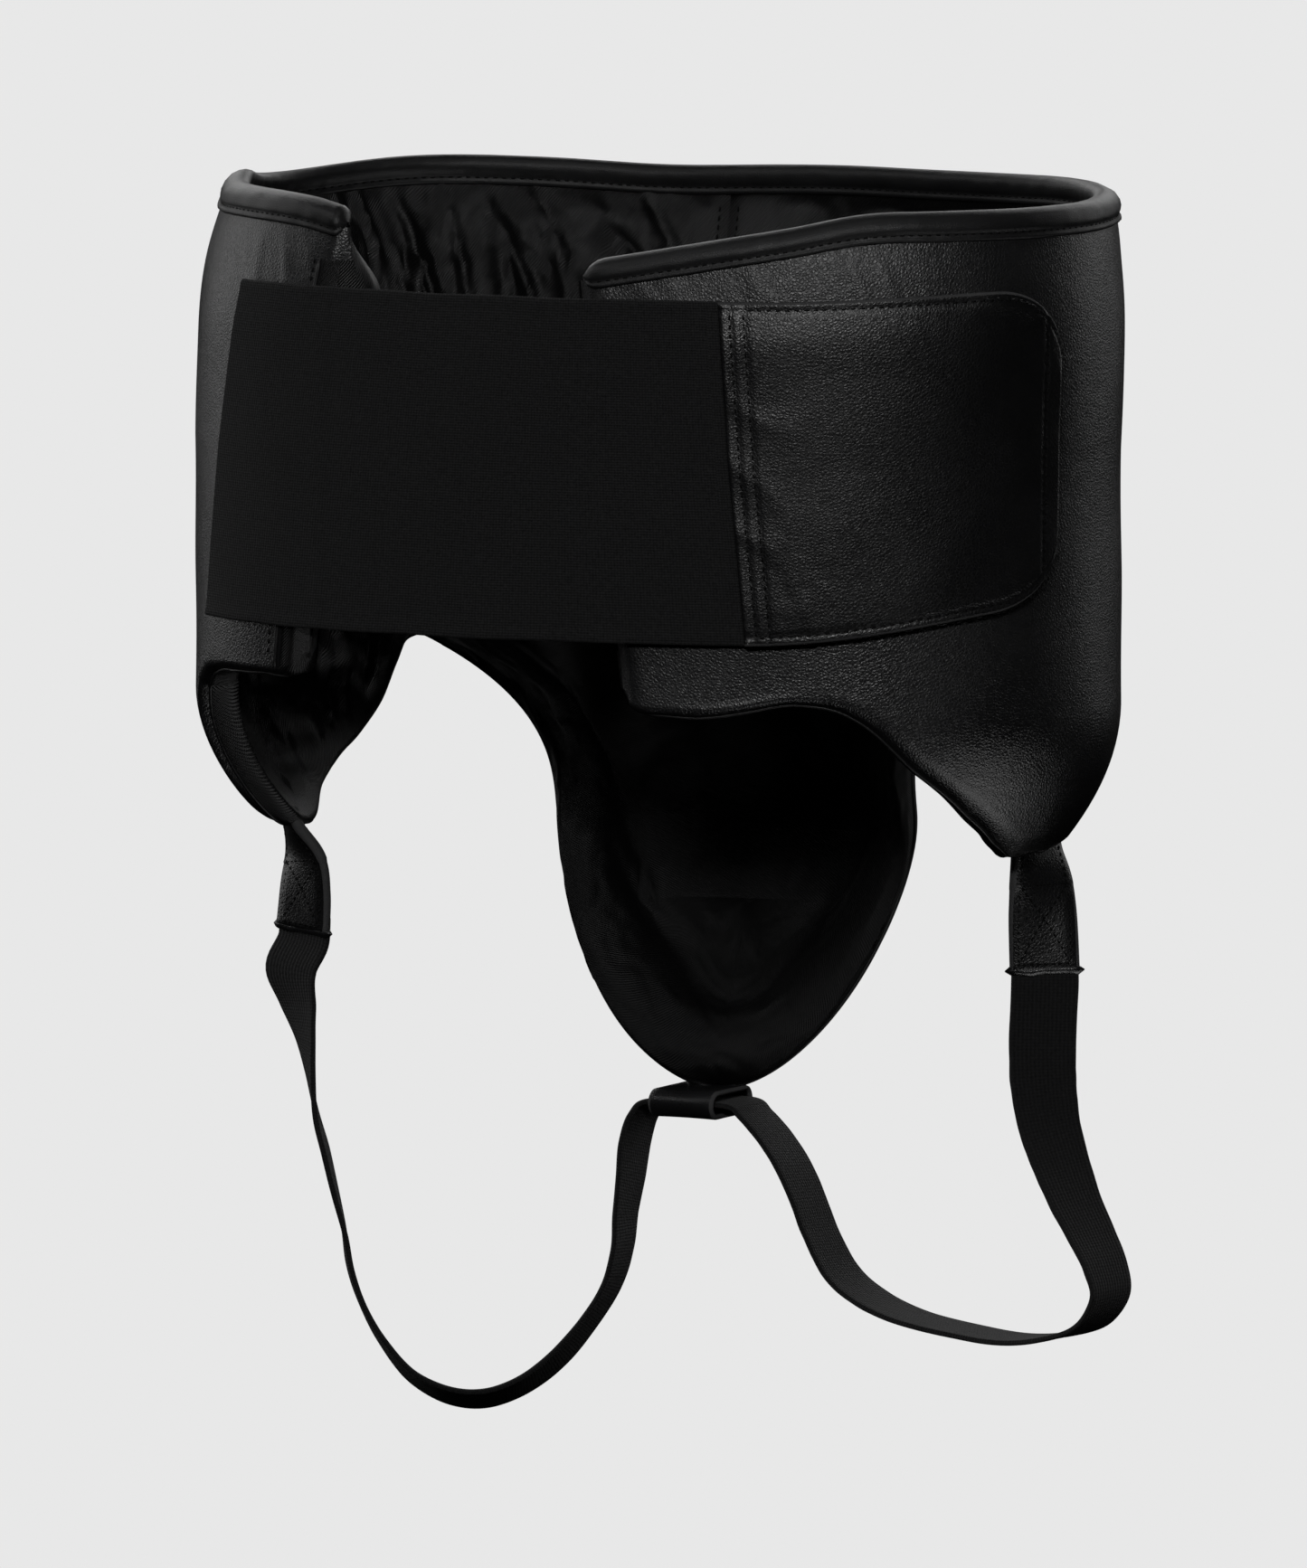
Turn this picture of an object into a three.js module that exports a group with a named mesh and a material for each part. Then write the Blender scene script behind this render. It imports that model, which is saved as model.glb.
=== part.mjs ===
// Groin protector: a padded leather waist ring with a cup at the front, two hip flaps,
// two wings that close at the wearer's back with an elastic band and a hook-and-loop tab,
// and an elastic leg strap on each side that runs through a keeper under the cup.
//
// Millimetres and degrees. The wearer faces +Y, +X is the wearer's right, +Z is up.
// The origin is the middle of the waist opening at the elastic's mid height.
// The ring angle is 0 at +X, 90 at the front and 270 (or -90) at the back.
import * as THREE from 'three';

// Waist ring, seen from above.
const RING_HALF_WIDTH = 178;
const RING_HALF_DEPTH = 101;
const RING_SQUARENESS = 0.02;

// Wall heights.
const WALL_TOP = 89;
const WAIST_TAPER_START = 40;
const WAIST_TAPER = 6;
const WAIST_TAPER_SPAN = 55;
const WAIST_LEAN = 0.03;
const HIP_CURL_START = -95;
const HIP_CURL_RATE = { left: 0.0137, right: 0.0112 };
const HIP_CURL_POWER = 1.9;
const EDGE_ROLL = 7;
const FRONT_BOTTOM = -82;

// Wall layers, measured inwards from the outer face of the leather.
const LEATHER = 1.6;
const LAYER_GAP = 0.3;
const FOAM_FULL = 12;
const FOAM_RIM = 3;
const FOAM_TAPER_TOP = 88;
const FOAM_TAPER_BOTTOM = 56;
const LINING = 1.2;

// Ring angles where panels meet.
const RIGHT_HINGE = -20;
const LEFT_HINGE = 200;
const RIGHT_ARCH = 51.5;
const LEFT_ARCH = 128.5;
const FRONT_CENTRE = 90;
const PANEL_GAP = 0.16;

// Rolled binding on the rim.
const BINDING_RADIUS = 3.3;
const BINDING_DEPTH = 3;
const BINDING_RISE = 3.6;

// Closure at the back.
const ELASTIC_THICKNESS = 1.6;
const BAND_TOP = 63.5;
const BAND_BOTTOM = -65.5;
const BAND_HINGE = -129;
const BAND_RISE_END = -95;
const BAND_SEWN_TOP = -142;
const BAND_SEWN_BOTTOM = -152;
const TAB_HINGE_TOP = -74.3;
const TAB_HINGE_BOTTOM = -70.5;
const TAB_END = -24.5;
const TAB_END_TOP = 67;
const TAB_END_BOTTOM = -52;
const TAB_TURN_START = -72;
const TAB_TURN_END = { top: -32, bottom: -26 };
const TAB_CORNER = 26;
const TAB_CORNER_SPAN = 13;
const TAPE = 1.5;
const LOOP_TAPE = { left: { top: -64, bottom: -60 }, right: { top: -26, bottom: -26 }, high: 56, low: -46 };
const BAND_GAP = 1;
const TAPE_GAP = 0.6;

// Cup.
const CUP_TIP = -254;
const CUP_SHOULDER = -150;
const CUP_HALF_WIDTH = 72;
const CUP_TOP_HALF_WIDTH = 115;
const CUP_FLARE = 2.6;
const CUP_ROUNDNESS = 1.65;
const CUP_BULGE = 27;
const CUP_TIP_FLATNESS = 0.75;
const CUP_SWELL_FULL = -165;
const CUP_SHIFT = 1.2;
const CUP_EDGE_Y = { shoulder: 110, tip: 84 };
const CUP_CROWN = 2.4;
const CUP_INSERT = 4;
const CUP_OVERLAP = 2;
const CUP_ROW_CROWDING = 1.5;
const CUP_PAD_RADIUS = 9.2;

// Keeper loop under the cup, and the leg straps.
const KEEPER = {
  x: -1.5, y: 65, z: -258, length: 28, depth: 30, height: 11, wall: 2, turn: -12, outer: 4, inner: 2,
};
const HANGER = { width: 24, depth: 2.2, top: -246, right: 3, front: 14 };
const STRAP_WIDTH = 25.4;
const STRAP_THICKNESS = 1.8;
const STRAP_GAP = 4.2;
const HIP_TAB_WIDTH = 26.4;
const HIP_TAB_THICKNESS = 4.4;

const group = new THREE.Group();

function lerp(a, b, t) {
  return a + (b - a) * t;
}

// Rises smoothly from 0 at x = a to 1 at x = b, where a may be the larger.
function smooth(a, b, x) {
  const t = THREE.MathUtils.clamp((x - a) / (b - a), 0, 1);
  return t * t * (3 - 2 * t);
}

// Splits the box's back face along the same diagonals as its front face, so that stacked
// layers keep an even gap.
function matchDiagonals(geometry) {
  const back = geometry.groups[geometry.groups.length - 1];
  const index = geometry.index;
  for (let i = back.start; i < back.start + back.count; i += 6) {
    const [a, b, d, c] = [index.getX(i), index.getX(i + 1), index.getX(i + 2), index.getX(i + 4)];
    [a, b, c, a, c, d].forEach((corner, k) => index.setX(i + k, corner));
  }
}

// A box with the given numbers of segments, each of its points moved by place(u, v, w),
// where u, v and w run from 0 to 1 along, up and through the piece.
function bentBox(along, up, through, place) {
  const geometry = new THREE.BoxGeometry(1, 1, 1, along, up, through);
  matchDiagonals(geometry);
  const position = geometry.attributes.position;
  const corner = new THREE.Vector3();
  for (let i = 0; i < position.count; i += 1) {
    corner.fromBufferAttribute(position, i).addScalar(0.5);
    const p = place(corner.x, corner.y, corner.z);
    position.setXYZ(i, p.x, p.y, p.z);
  }
  geometry.computeVertexNormals();
  return geometry;
}

function addPiece(name, geometry, material) {
  const mesh = new THREE.Mesh(geometry, material.clone());
  mesh.name = name;
  group.add(mesh);
  return mesh;
}

function finish(color, roughness) {
  return new THREE.MeshStandardMaterial({ color, roughness, metalness: 0 });
}

const leather = finish(0x17171a, 0.42);
const foam = finish(0x2b2b2e, 0.9);
const lining = finish(0x0d0d0f, 0.7);
const elastic = finish(0x0c0c0d, 0.92);
const plastic = finish(0x1d1d20, 0.5);
const tape = finish(0x101012, 0.95);

// How far the wall leans inwards at a height: towards the waist rim and under the hips.
function inset(height, side) {
  const rim = Math.max(0, (height - WAIST_TAPER_START) / WAIST_TAPER_SPAN);
  const hip = Math.max(0, HIP_CURL_START - height);
  return WAIST_TAPER * rim * rim + HIP_CURL_RATE[side] * hip ** HIP_CURL_POWER;
}

// The outer face's outline from above, and its outward normal.
function ring(angle) {
  const a = THREE.MathUtils.degToRad(angle);
  const k = RING_SQUARENESS;
  const x = (RING_HALF_WIDTH * (Math.cos(a) - k * Math.cos(3 * a))) / (1 - k);
  const y = (RING_HALF_DEPTH * (Math.sin(a) + k * Math.sin(3 * a))) / (1 - k);
  const dx = (RING_HALF_WIDTH * (3 * k * Math.sin(3 * a) - Math.sin(a))) / (1 - k);
  const dy = (RING_HALF_DEPTH * (Math.cos(a) + 3 * k * Math.cos(3 * a))) / (1 - k);
  const size = Math.hypot(dx, dy);
  return { x, y, nx: dy / size, ny: -dx / size };
}

// A point on or in the wall. depth is measured inwards from the outer face.
function wallPoint(angle, height, depth) {
  const r = ring(angle);
  const d = inset(height, r.x < 0 ? 'left' : 'right') + depth;
  const lean = WAIST_LEAN * Math.max(0, height);
  return new THREE.Vector3(r.x - r.nx * d + lean, r.y - r.ny * d, height);
}

// A smooth line through [angle, height] points, read by a share from 0 to 1.
function outline(points) {
  const stops = points.map(([a, h]) => new THREE.Vector2(a, h));
  const curve = stops.length === 2 ? new THREE.LineCurve(...stops) : new THREE.SplineCurve(stops);
  return (share) => curve.getPoint(share).toArray();
}

function foamThickness(height) {
  const full = 1 - smooth(FOAM_TAPER_BOTTOM, FOAM_TAPER_TOP, height);
  return lerp(FOAM_RIM, FOAM_FULL, full);
}

const FOAM_OUTER = LEATHER + LAYER_GAP;
const LAYERS = {
  shell: { outer: () => 0, inner: () => LEATHER, material: leather },
  foam: {
    outer: () => FOAM_OUTER,
    inner: (height) => FOAM_OUTER + foamThickness(height),
    material: foam,
    hangs: true,
  },
  lining: {
    outer: (height) => FOAM_OUTER + foamThickness(height) + LAYER_GAP,
    inner: (height) => FOAM_OUTER + foamThickness(height) + LAYER_GAP + LINING,
    material: lining,
    hangs: true,
  },
};

// How far the padding hangs below the leather's edge, behind the right hip.
function edgeRoll(angle) {
  return EDGE_ROLL * smooth(-62, -48, angle) * smooth(-8, -24, angle);
}

// A piece of the wall between a bottom and a top line. The angle grows with u.
function wallPanel(name, area, layer, along, up) {
  const place = (u, v, w) => {
    const [lowAngle, lowHeight] = area.bottom(u);
    const [highAngle, highHeight] = area.top(u);
    const angle = lerp(lowAngle, highAngle, v);
    const hang = layer.hangs && v === 0 ? edgeRoll(lowAngle) : 0;
    const height = lerp(lowHeight, highHeight, v) - hang;
    return wallPoint(angle, height, lerp(layer.inner(height), layer.outer(height), w));
  };
  addPiece(name, bentBox(along, up, 1, place), layer.material);
}

// The rolled binding that closes the wall's top edge, following the area's top line.
function binding(name, top, steps) {
  const section = new THREE.CylinderGeometry(BINDING_RADIUS, BINDING_RADIUS, 1, 8, steps);
  const position = section.attributes.position;
  for (let i = 0; i < position.count; i += 1) {
    const share = THREE.MathUtils.clamp(position.getY(i) + 0.5, 0, 1);
    const [angle, height] = top(share);
    const across = BINDING_DEPTH - position.getX(i);
    const rise = BINDING_RISE + position.getZ(i);
    const p = wallPoint(angle, height + BINDING_RISE, across);
    p.z = height + rise;
    position.setXYZ(i, p.x, p.y, p.z);
  }
  section.computeVertexNormals();
  addPiece(name, section, leather);
}

// ---- Padded wall ----

const AREAS = {
  front: {
    top: outline([[RIGHT_ARCH + PANEL_GAP, WALL_TOP], [LEFT_ARCH - PANEL_GAP, WALL_TOP]]),
    bottom: outline([[RIGHT_ARCH + PANEL_GAP, FRONT_BOTTOM], [LEFT_ARCH - PANEL_GAP, FRONT_BOTTOM]]),
  },
  right_hip: {
    top: outline([[RIGHT_HINGE + PANEL_GAP, WALL_TOP], [RIGHT_ARCH - PANEL_GAP, WALL_TOP]]),
    bottom: outline([
      [RIGHT_HINGE + PANEL_GAP, -142], [-8, -148], [5, -149], [16, -146.5], [26, -142], [34, -132],
      [39, -120], [43, -108], [45.5, -94], [48, -85], [RIGHT_ARCH - PANEL_GAP, FRONT_BOTTOM],
    ]),
  },
  right_wing: {
    top: outline([[-91, 69.5], [-77, 78], [-67, 83], [-57, 88], [-45, 89], [RIGHT_HINGE - PANEL_GAP, 89]]),
    bottom: outline([
      [-85.5, -92], [-75, -92], [-65, -87.5], [-56, -92.5], [-48, -106], [-39, -121], [-29, -134],
      [RIGHT_HINGE - PANEL_GAP, -142],
    ]),
  },
  left_hip: {
    top: outline([[LEFT_ARCH + PANEL_GAP, WALL_TOP], [LEFT_HINGE - PANEL_GAP, WALL_TOP]]),
    bottom: outline([
      [LEFT_ARCH + PANEL_GAP, FRONT_BOTTOM], [132, -85], [134.5, -94], [138, -108], [142.5, -120],
      [148, -132], [157, -142], [166, -146.5], [175, -149], [186, -147], [193, -136], [196, -120],
      [198, -104], [LEFT_HINGE - PANEL_GAP, -93],
    ]),
  },
  left_wing: {
    top: outline([[LEFT_HINGE + PANEL_GAP, WALL_TOP], [220, 89.5], [230, 88.5], [237, 85.5]]),
    bottom: outline([[LEFT_HINGE + PANEL_GAP, -92.5], [205, -87], [212, -84.5], [222, -84], [231, -84]]),
  },
};

const PANEL_STEPS = {
  front: [8, 4],
  right_hip: [10, 6],
  right_wing: [9, 5],
  left_hip: [12, 6],
  left_wing: [5, 4],
};

for (const [place, area] of Object.entries(AREAS)) {
  const [along, up] = PANEL_STEPS[place];
  wallPanel(`${place}_shell`, area, LAYERS.shell, along, up);
  wallPanel(`${place}_foam`, area, LAYERS.foam, along, up);
  if (place !== 'front') {
    wallPanel(`${place}_lining`, area, LAYERS.lining, along, up);
  }
}

// The front lining is two pieces with a seam on the centre line.
for (const [name, from, to] of [
  ['front_lining_right', RIGHT_ARCH + PANEL_GAP, FRONT_CENTRE - PANEL_GAP],
  ['front_lining_left', FRONT_CENTRE + PANEL_GAP, LEFT_ARCH - PANEL_GAP],
]) {
  const area = {
    top: outline([[from, WALL_TOP], [to, WALL_TOP]]),
    bottom: outline([[from, FRONT_BOTTOM], [to, FRONT_BOTTOM]]),
  };
  wallPanel(name, area, LAYERS.lining, 4, 4);
}

binding('front_binding', outline([
  [RIGHT_HINGE + PANEL_GAP, WALL_TOP], [LEFT_HINGE - PANEL_GAP, WALL_TOP],
]), 22);
binding('right_wing_binding', AREAS.right_wing.top, 9);
binding('left_wing_binding', AREAS.left_wing.top, 5);

// ---- Closure: elastic band, tab, hook tape and loop tape ----

// The band lies on the left wing and rises over the tapes on the right wing.
const TAPE_OUT = BAND_GAP + TAPE + TAPE_GAP;
const TAB_OUT = TAPE_OUT + ELASTIC_THICKNESS + LAYER_GAP;

function bandLift(angle) {
  return lerp(BAND_GAP, TAPE_OUT, smooth(BAND_HINGE, BAND_RISE_END, angle));
}

// A flat strip outside the wall between two ends, each an angle at the top and the bottom.
function strip(name, material, along, up, left, right, top, bottom, lift, thickness) {
  const place = (u, v, w) => {
    const angle = lerp(lerp(left.bottom, left.top, v), lerp(right.bottom, right.top, v), u);
    const height = lerp(bottom(angle), top(angle), v);
    return wallPoint(angle, height, -lift(angle) - thickness * w);
  };
  addPiece(name, bentBox(along, up, 1, place), material);
}

const bandTop = () => BAND_TOP;
const bandBottom = () => BAND_BOTTOM;
const bandHinge = (gap) => ({ top: BAND_HINGE + gap, bottom: BAND_HINGE + gap });
const tabHinge = (gap) => ({ top: TAB_HINGE_TOP + gap, bottom: TAB_HINGE_BOTTOM + gap });
const HINGE_GAP = 0.2;
const ELASTIC_OVERLAP = 8;
const HOOK_TAPE_START = 8.5;
const HOOK_TAPE_END = 3;

const sewnEnd = { top: BAND_SEWN_TOP, bottom: BAND_SEWN_BOTTOM };
strip('elastic_sewn_end', elastic, 5, 2, sewnEnd, bandHinge(-HINGE_GAP), bandTop, bandBottom,
  bandLift, ELASTIC_THICKNESS);
strip('closure_elastic', elastic, 12, 2, bandHinge(HINGE_GAP), tabHinge(-HINGE_GAP),
  bandTop, bandBottom, bandLift, ELASTIC_THICKNESS);
strip('elastic_tab_end', elastic, 2, 2, tabHinge(HINGE_GAP), tabHinge(ELASTIC_OVERLAP),
  bandTop, bandBottom, bandLift, ELASTIC_THICKNESS);

// The tab's top and bottom edges run together towards its rounded end.
function cornerDrop(angle) {
  const start = TAB_END - TAB_CORNER_SPAN;
  const share = THREE.MathUtils.clamp((angle - start) / (TAB_END - start), 0, 1);
  return TAB_CORNER * (1 - Math.sqrt(Math.max(0, 1 - share * share)));
}

function tabTop(angle) {
  const turn = smooth(TAB_TURN_START, TAB_TURN_END.top, angle);
  return lerp(BAND_TOP, TAB_END_TOP, turn) - cornerDrop(angle);
}

function tabBottom(angle) {
  const turn = smooth(TAB_TURN_START, TAB_TURN_END.bottom, angle);
  return lerp(BAND_BOTTOM, TAB_END_BOTTOM, turn) + cornerDrop(angle);
}

const constant = (value) => () => value;
const tabEnd = (gap) => ({ top: TAB_END - gap, bottom: TAB_END - gap });
const TAPE_INSET = 5;
const insetTop = (angle) => tabTop(angle) - TAPE_INSET;
const insetBottom = (angle) => tabBottom(angle) + TAPE_INSET;

strip('tab_leather', leather, 10, 3, tabHinge(HINGE_GAP), tabEnd(0), tabTop, tabBottom,
  constant(TAB_OUT), LEATHER);
strip('hook_tape', tape, 7, 2, tabHinge(HOOK_TAPE_START), tabEnd(HOOK_TAPE_END), insetTop, insetBottom,
  constant(TAPE_OUT), TAPE);
strip('loop_tape', tape, 8, 2, LOOP_TAPE.left, LOOP_TAPE.right, constant(LOOP_TAPE.high),
  constant(LOOP_TAPE.low), constant(BAND_GAP), TAPE);

// ---- Cup ----

// Half the cup's width at a height: a round tip below the shoulder and a flare to the arches.
function cupHalfWidth(height) {
  if (height < CUP_SHOULDER) {
    const drop = (CUP_SHOULDER - height) / (CUP_SHOULDER - CUP_TIP);
    return CUP_HALF_WIDTH * (1 - drop ** CUP_ROUNDNESS) ** (1 / CUP_ROUNDNESS);
  }
  const rise = (height - CUP_SHOULDER) / (FRONT_BOTTOM - CUP_SHOULDER);
  return lerp(CUP_HALF_WIDTH, CUP_TOP_HALF_WIDTH, rise ** CUP_FLARE);
}

// The line the cup's top edge follows, just outside the wall's front.
function frontY(x) {
  return RING_HALF_DEPTH * Math.sqrt(1 - (x / RING_HALF_WIDTH) ** 2) + CUP_OVERLAP;
}

// The outer face of the cup. across runs from -1 to 1 between the cup's edges.
function cupPoint(across, height, depth, margin = 0) {
  const half = cupHalfWidth(height);
  const x = across * (half - margin);
  const swell = smooth(FRONT_BOTTOM, CUP_SWELL_FULL, height);
  const tuck = smooth(CUP_SHOULDER, CUP_TIP, height);
  const top = frontY(x);
  const edge = lerp(CUP_EDGE_Y.shoulder, CUP_EDGE_Y.tip, tuck);
  const crown = CUP_BULGE * (1 - tuck * CUP_TIP_FLATNESS) * (1 - Math.abs(x / half) ** CUP_CROWN);
  const shift = CUP_SHIFT * swell;
  return new THREE.Vector3(x + shift, lerp(top, edge + crown, swell) - depth, height);
}

// Rows run from the tip to the top, closer together where the outline turns.
function cupRow(share, low, high) {
  return lerp(low, high, share ** CUP_ROW_CROWDING);
}

function cupLayer(name, material, low, high, margin, outer, thickness, along, up) {
  const place = (u, v, w) => {
    const height = cupRow(v, low, high);
    return cupPoint(1 - 2 * u, height, lerp(outer + thickness, outer, w), margin);
  };
  addPiece(name, bentBox(along, up, 1, place), material);
}

const CUP_SHELL_TIP = -251.5;
const CUP_TOP = FRONT_BOTTOM - 0.5;
const INSERT_TIP = -225;
const INSERT_TOP = -86;
const HOLLOW_MARGIN = 20;
const CUP_GAP = 1.4;
const INSERT_DEPTH = LEATHER + CUP_GAP;
const LINER_DEPTH = INSERT_DEPTH + CUP_INSERT + CUP_GAP;

cupLayer('cup_shell', leather, CUP_SHELL_TIP, CUP_TOP, 0, 0, LEATHER, 12, 9);
cupLayer('cup_insert', plastic, INSERT_TIP, INSERT_TOP, HOLLOW_MARGIN, INSERT_DEPTH, CUP_INSERT, 8, 7);
cupLayer('cup_lining', lining, INSERT_TIP, INSERT_TOP, HOLLOW_MARGIN, LINER_DEPTH, LINING, 8, 7);

// The padded roll behind the cup's edge, from one arch down round the tip and up again.
const PAD = {
  stations: [-92, -110, -130, -152, -172, -192, -210, -225, -236],
  inset: 10.2,
  depth: 13.8,
  tip: -240.3,
  tipDrop: 2,
};

function cupPad() {
  const side = PAD.stations.map((height) => {
    const p = cupPoint(1, height, PAD.depth);
    p.x -= PAD.inset;
    return p;
  });
  const tip = cupPoint(0, PAD.tip, 0);
  tip.y = side[side.length - 1].y - PAD.tipDrop;
  const mirrored = side.map((p) => new THREE.Vector3(2 * CUP_SHIFT - p.x, p.y, p.z)).reverse();
  const route = new THREE.CatmullRomCurve3([...side, tip, ...mirrored]);
  const section = new THREE.Shape();
  section.absarc(0, 0, CUP_PAD_RADIUS, 0, 2 * Math.PI);
  const sweep = { steps: 30, curveSegments: 8, extrudePath: route, bevelEnabled: false };
  addPiece('cup_rim_pad', new THREE.ExtrudeGeometry(section, sweep), foam);
}
cupPad();

// ---- Keeper loop ----

// A leather strip sewn into the cup's tip carries the keeper, a flat tube lying left to right.
const keeperFrame = new THREE.Group();
keeperFrame.position.set(KEEPER.x, KEEPER.y, KEEPER.z);
keeperFrame.rotation.z = THREE.MathUtils.degToRad(KEEPER.turn);
group.add(keeperFrame);

function roundedRect(width, height, radius) {
  const path = new THREE.Shape();
  path.absarc(width / 2 - radius, height / 2 - radius, radius, 0, Math.PI / 2);
  path.absarc(radius - width / 2, height / 2 - radius, radius, Math.PI / 2, Math.PI);
  path.absarc(radius - width / 2, radius - height / 2, radius, Math.PI, 1.5 * Math.PI);
  path.absarc(width / 2 - radius, radius - height / 2, radius, 1.5 * Math.PI, 2 * Math.PI);
  path.closePath();
  return path;
}

function keeperLoop() {
  const wall = KEEPER.wall;
  const outer = roundedRect(KEEPER.depth + 2 * wall, KEEPER.height, KEEPER.outer);
  outer.holes.push(roundedRect(KEEPER.depth, KEEPER.height - 2 * wall, KEEPER.inner));
  const tube = new THREE.ExtrudeGeometry(outer, {
    depth: KEEPER.length, steps: 1, curveSegments: 3, bevelEnabled: false,
  });
  tube.translate(0, 0, -KEEPER.length / 2);
  tube.rotateX(Math.PI / 2);
  tube.rotateZ(Math.PI / 2);
  const mesh = addPiece('keeper_loop', tube, leather);
  keeperFrame.add(mesh);
  const inside = new THREE.BoxGeometry(KEEPER.length, STRAP_WIDTH, STRAP_THICKNESS, 2, 1, 1);
  keeperFrame.add(addPiece('keeper_strap', inside, elastic));
}
keeperLoop();

const hangerBottom = KEEPER.z + KEEPER.height / 2 + LAYER_GAP;
const hanger = new THREE.BoxGeometry(HANGER.width, HANGER.depth, HANGER.top - hangerBottom);
addPiece('keeper_hanger', hanger, leather)
  .position.set(KEEPER.x + HANGER.right, KEEPER.y + HANGER.front, (HANGER.top + hangerBottom) / 2);

// ---- Hip tabs and leg straps ----

// A flat ribbon through points [x, y, z, turn, tilt]. turn is the angle of its width from the
// line across the object, seen from above, and tilt raises the width's far side.
function ribbon(name, material, points, width, thickness, steps) {
  const route = new THREE.CatmullRomCurve3(points.map(([x, y, z]) => new THREE.Vector3(x, y, z)));
  const angles = new THREE.CatmullRomCurve3(
    points.map(([, , , turn, tilt = 0]) => new THREE.Vector3(turn, tilt, 0)),
  );
  const place = (u, v, w) => {
    const p = route.getPoint(u);
    const tangent = route.getTangent(u);
    const turn = THREE.MathUtils.degToRad(angles.getPoint(u).x);
    const tilt = THREE.MathUtils.degToRad(angles.getPoint(u).y);
    const side = new THREE.Vector3(Math.cos(turn), Math.sin(turn), Math.tan(tilt));
    side.addScaledVector(tangent, -side.dot(tangent)).normalize();
    const face = new THREE.Vector3().crossVectors(tangent, side);
    return p.addScaledVector(side, (v - 0.5) * width).addScaledVector(face, (w - 0.5) * thickness);
  };
  addPiece(name, bentBox(steps, 1, 1, place), material);
}

const RIGHT_TAB = [[147, 4, -152, 62], [149, 3, -164, 42], [150, 2, -178, 26], [151, 1, -197, 18]];
const LEFT_TAB = [[-145, 6, -152, -62], [-140, 6, -164, -40], [-139, 6, -176, -30], [-141, 6, -191, -26]];
ribbon('right_hip_tab', leather, RIGHT_TAB, HIP_TAB_WIDTH, HIP_TAB_THICKNESS, 5);
ribbon('left_hip_tab', leather, LEFT_TAB, HIP_TAB_WIDTH, HIP_TAB_THICKNESS, 5);

const RIGHT_STRAP = [
  [151, 1, -197 - STRAP_GAP, 18], [150, 1.5, -226, 20], [150.5, 1.5, -240, 28], [153, 0, -254, 38],
  [158, -2, -268, 46], [164, -5, -281, 54], [171.5, -8, -294, 60], [178, -11, -306, 66],
  [180, -12, -317, 70], [171.5, -8, -328.5, 72], [155, -1, -334.5, 72], [137, 7.5, -337, 72],
  [116.5, 16.5, -336, 72], [92, 27.5, -333, 72], [74, 36, -327.5, 72], [60.5, 42, -317.5, 74],
  [51, 46, -303, 76], [45.5, 48.5, -289, 76], [39, 51.5, -277, 76], [31.5, 55.5, -268, 77],
  [22.5, 59.5, -261.5, 78], [15.6, 61.4, -258.2, 78],
];
const LEFT_STRAP = [
  [-141, 6, -191 - STRAP_GAP, -25], [-144.5, 4.5, -206, -26], [-141.5, 6, -219, -42],
  [-139, 7, -232, -58], [-137.5, 8, -246, -68], [-136, 8.5, -261, -74], [-133.5, 9.5, -275, -76],
  [-130.5, 11.5, -290, -75], [-127, 13, -306, -72], [-125, 14, -320, -70], [-121, 16, -333.5, -69],
  [-114, 19.5, -346.5, -70, 4], [-104, 24.5, -359, -72, 10], [-91, 31, -366.5, -76, 14],
  [-78, 37.5, -367.5, -80, 14], [-65, 44, -363, -86, 10], [-53, 50, -354, -92, 6],
  [-43, 55, -341.5, -94], [-35.5, 59, -328, -92], [-32, 60.5, -315, -92], [-31, 61.5, -301, -94],
  [-30, 64, -288, -98], [-29, 66.5, -275, -101], [-26, 68.5, -264.5, -102],
  [-18.6, 68.6, -258.2, -102],
];
ribbon('right_leg_strap', elastic, RIGHT_STRAP, STRAP_WIDTH, STRAP_THICKNESS, 28);
ribbon('left_leg_strap', elastic, LEFT_STRAP, STRAP_WIDTH, STRAP_THICKNESS, 30);

export default group;
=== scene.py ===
"""Groin protector: a padded leather waist ring with a cup, two hip flaps, an elastic closure
with a hook-and-loop tab, and two elastic leg straps.

Shapes are worked out in millimetres and become metres when a mesh is made. The wearer faces
+Y, +X is the wearer's right and +Z is up. Ring angles are in degrees: 0 at +X, 90 at the
front and -90 (or 270) at the back.
"""

import math

import bmesh
import bpy
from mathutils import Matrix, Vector, noise


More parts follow.
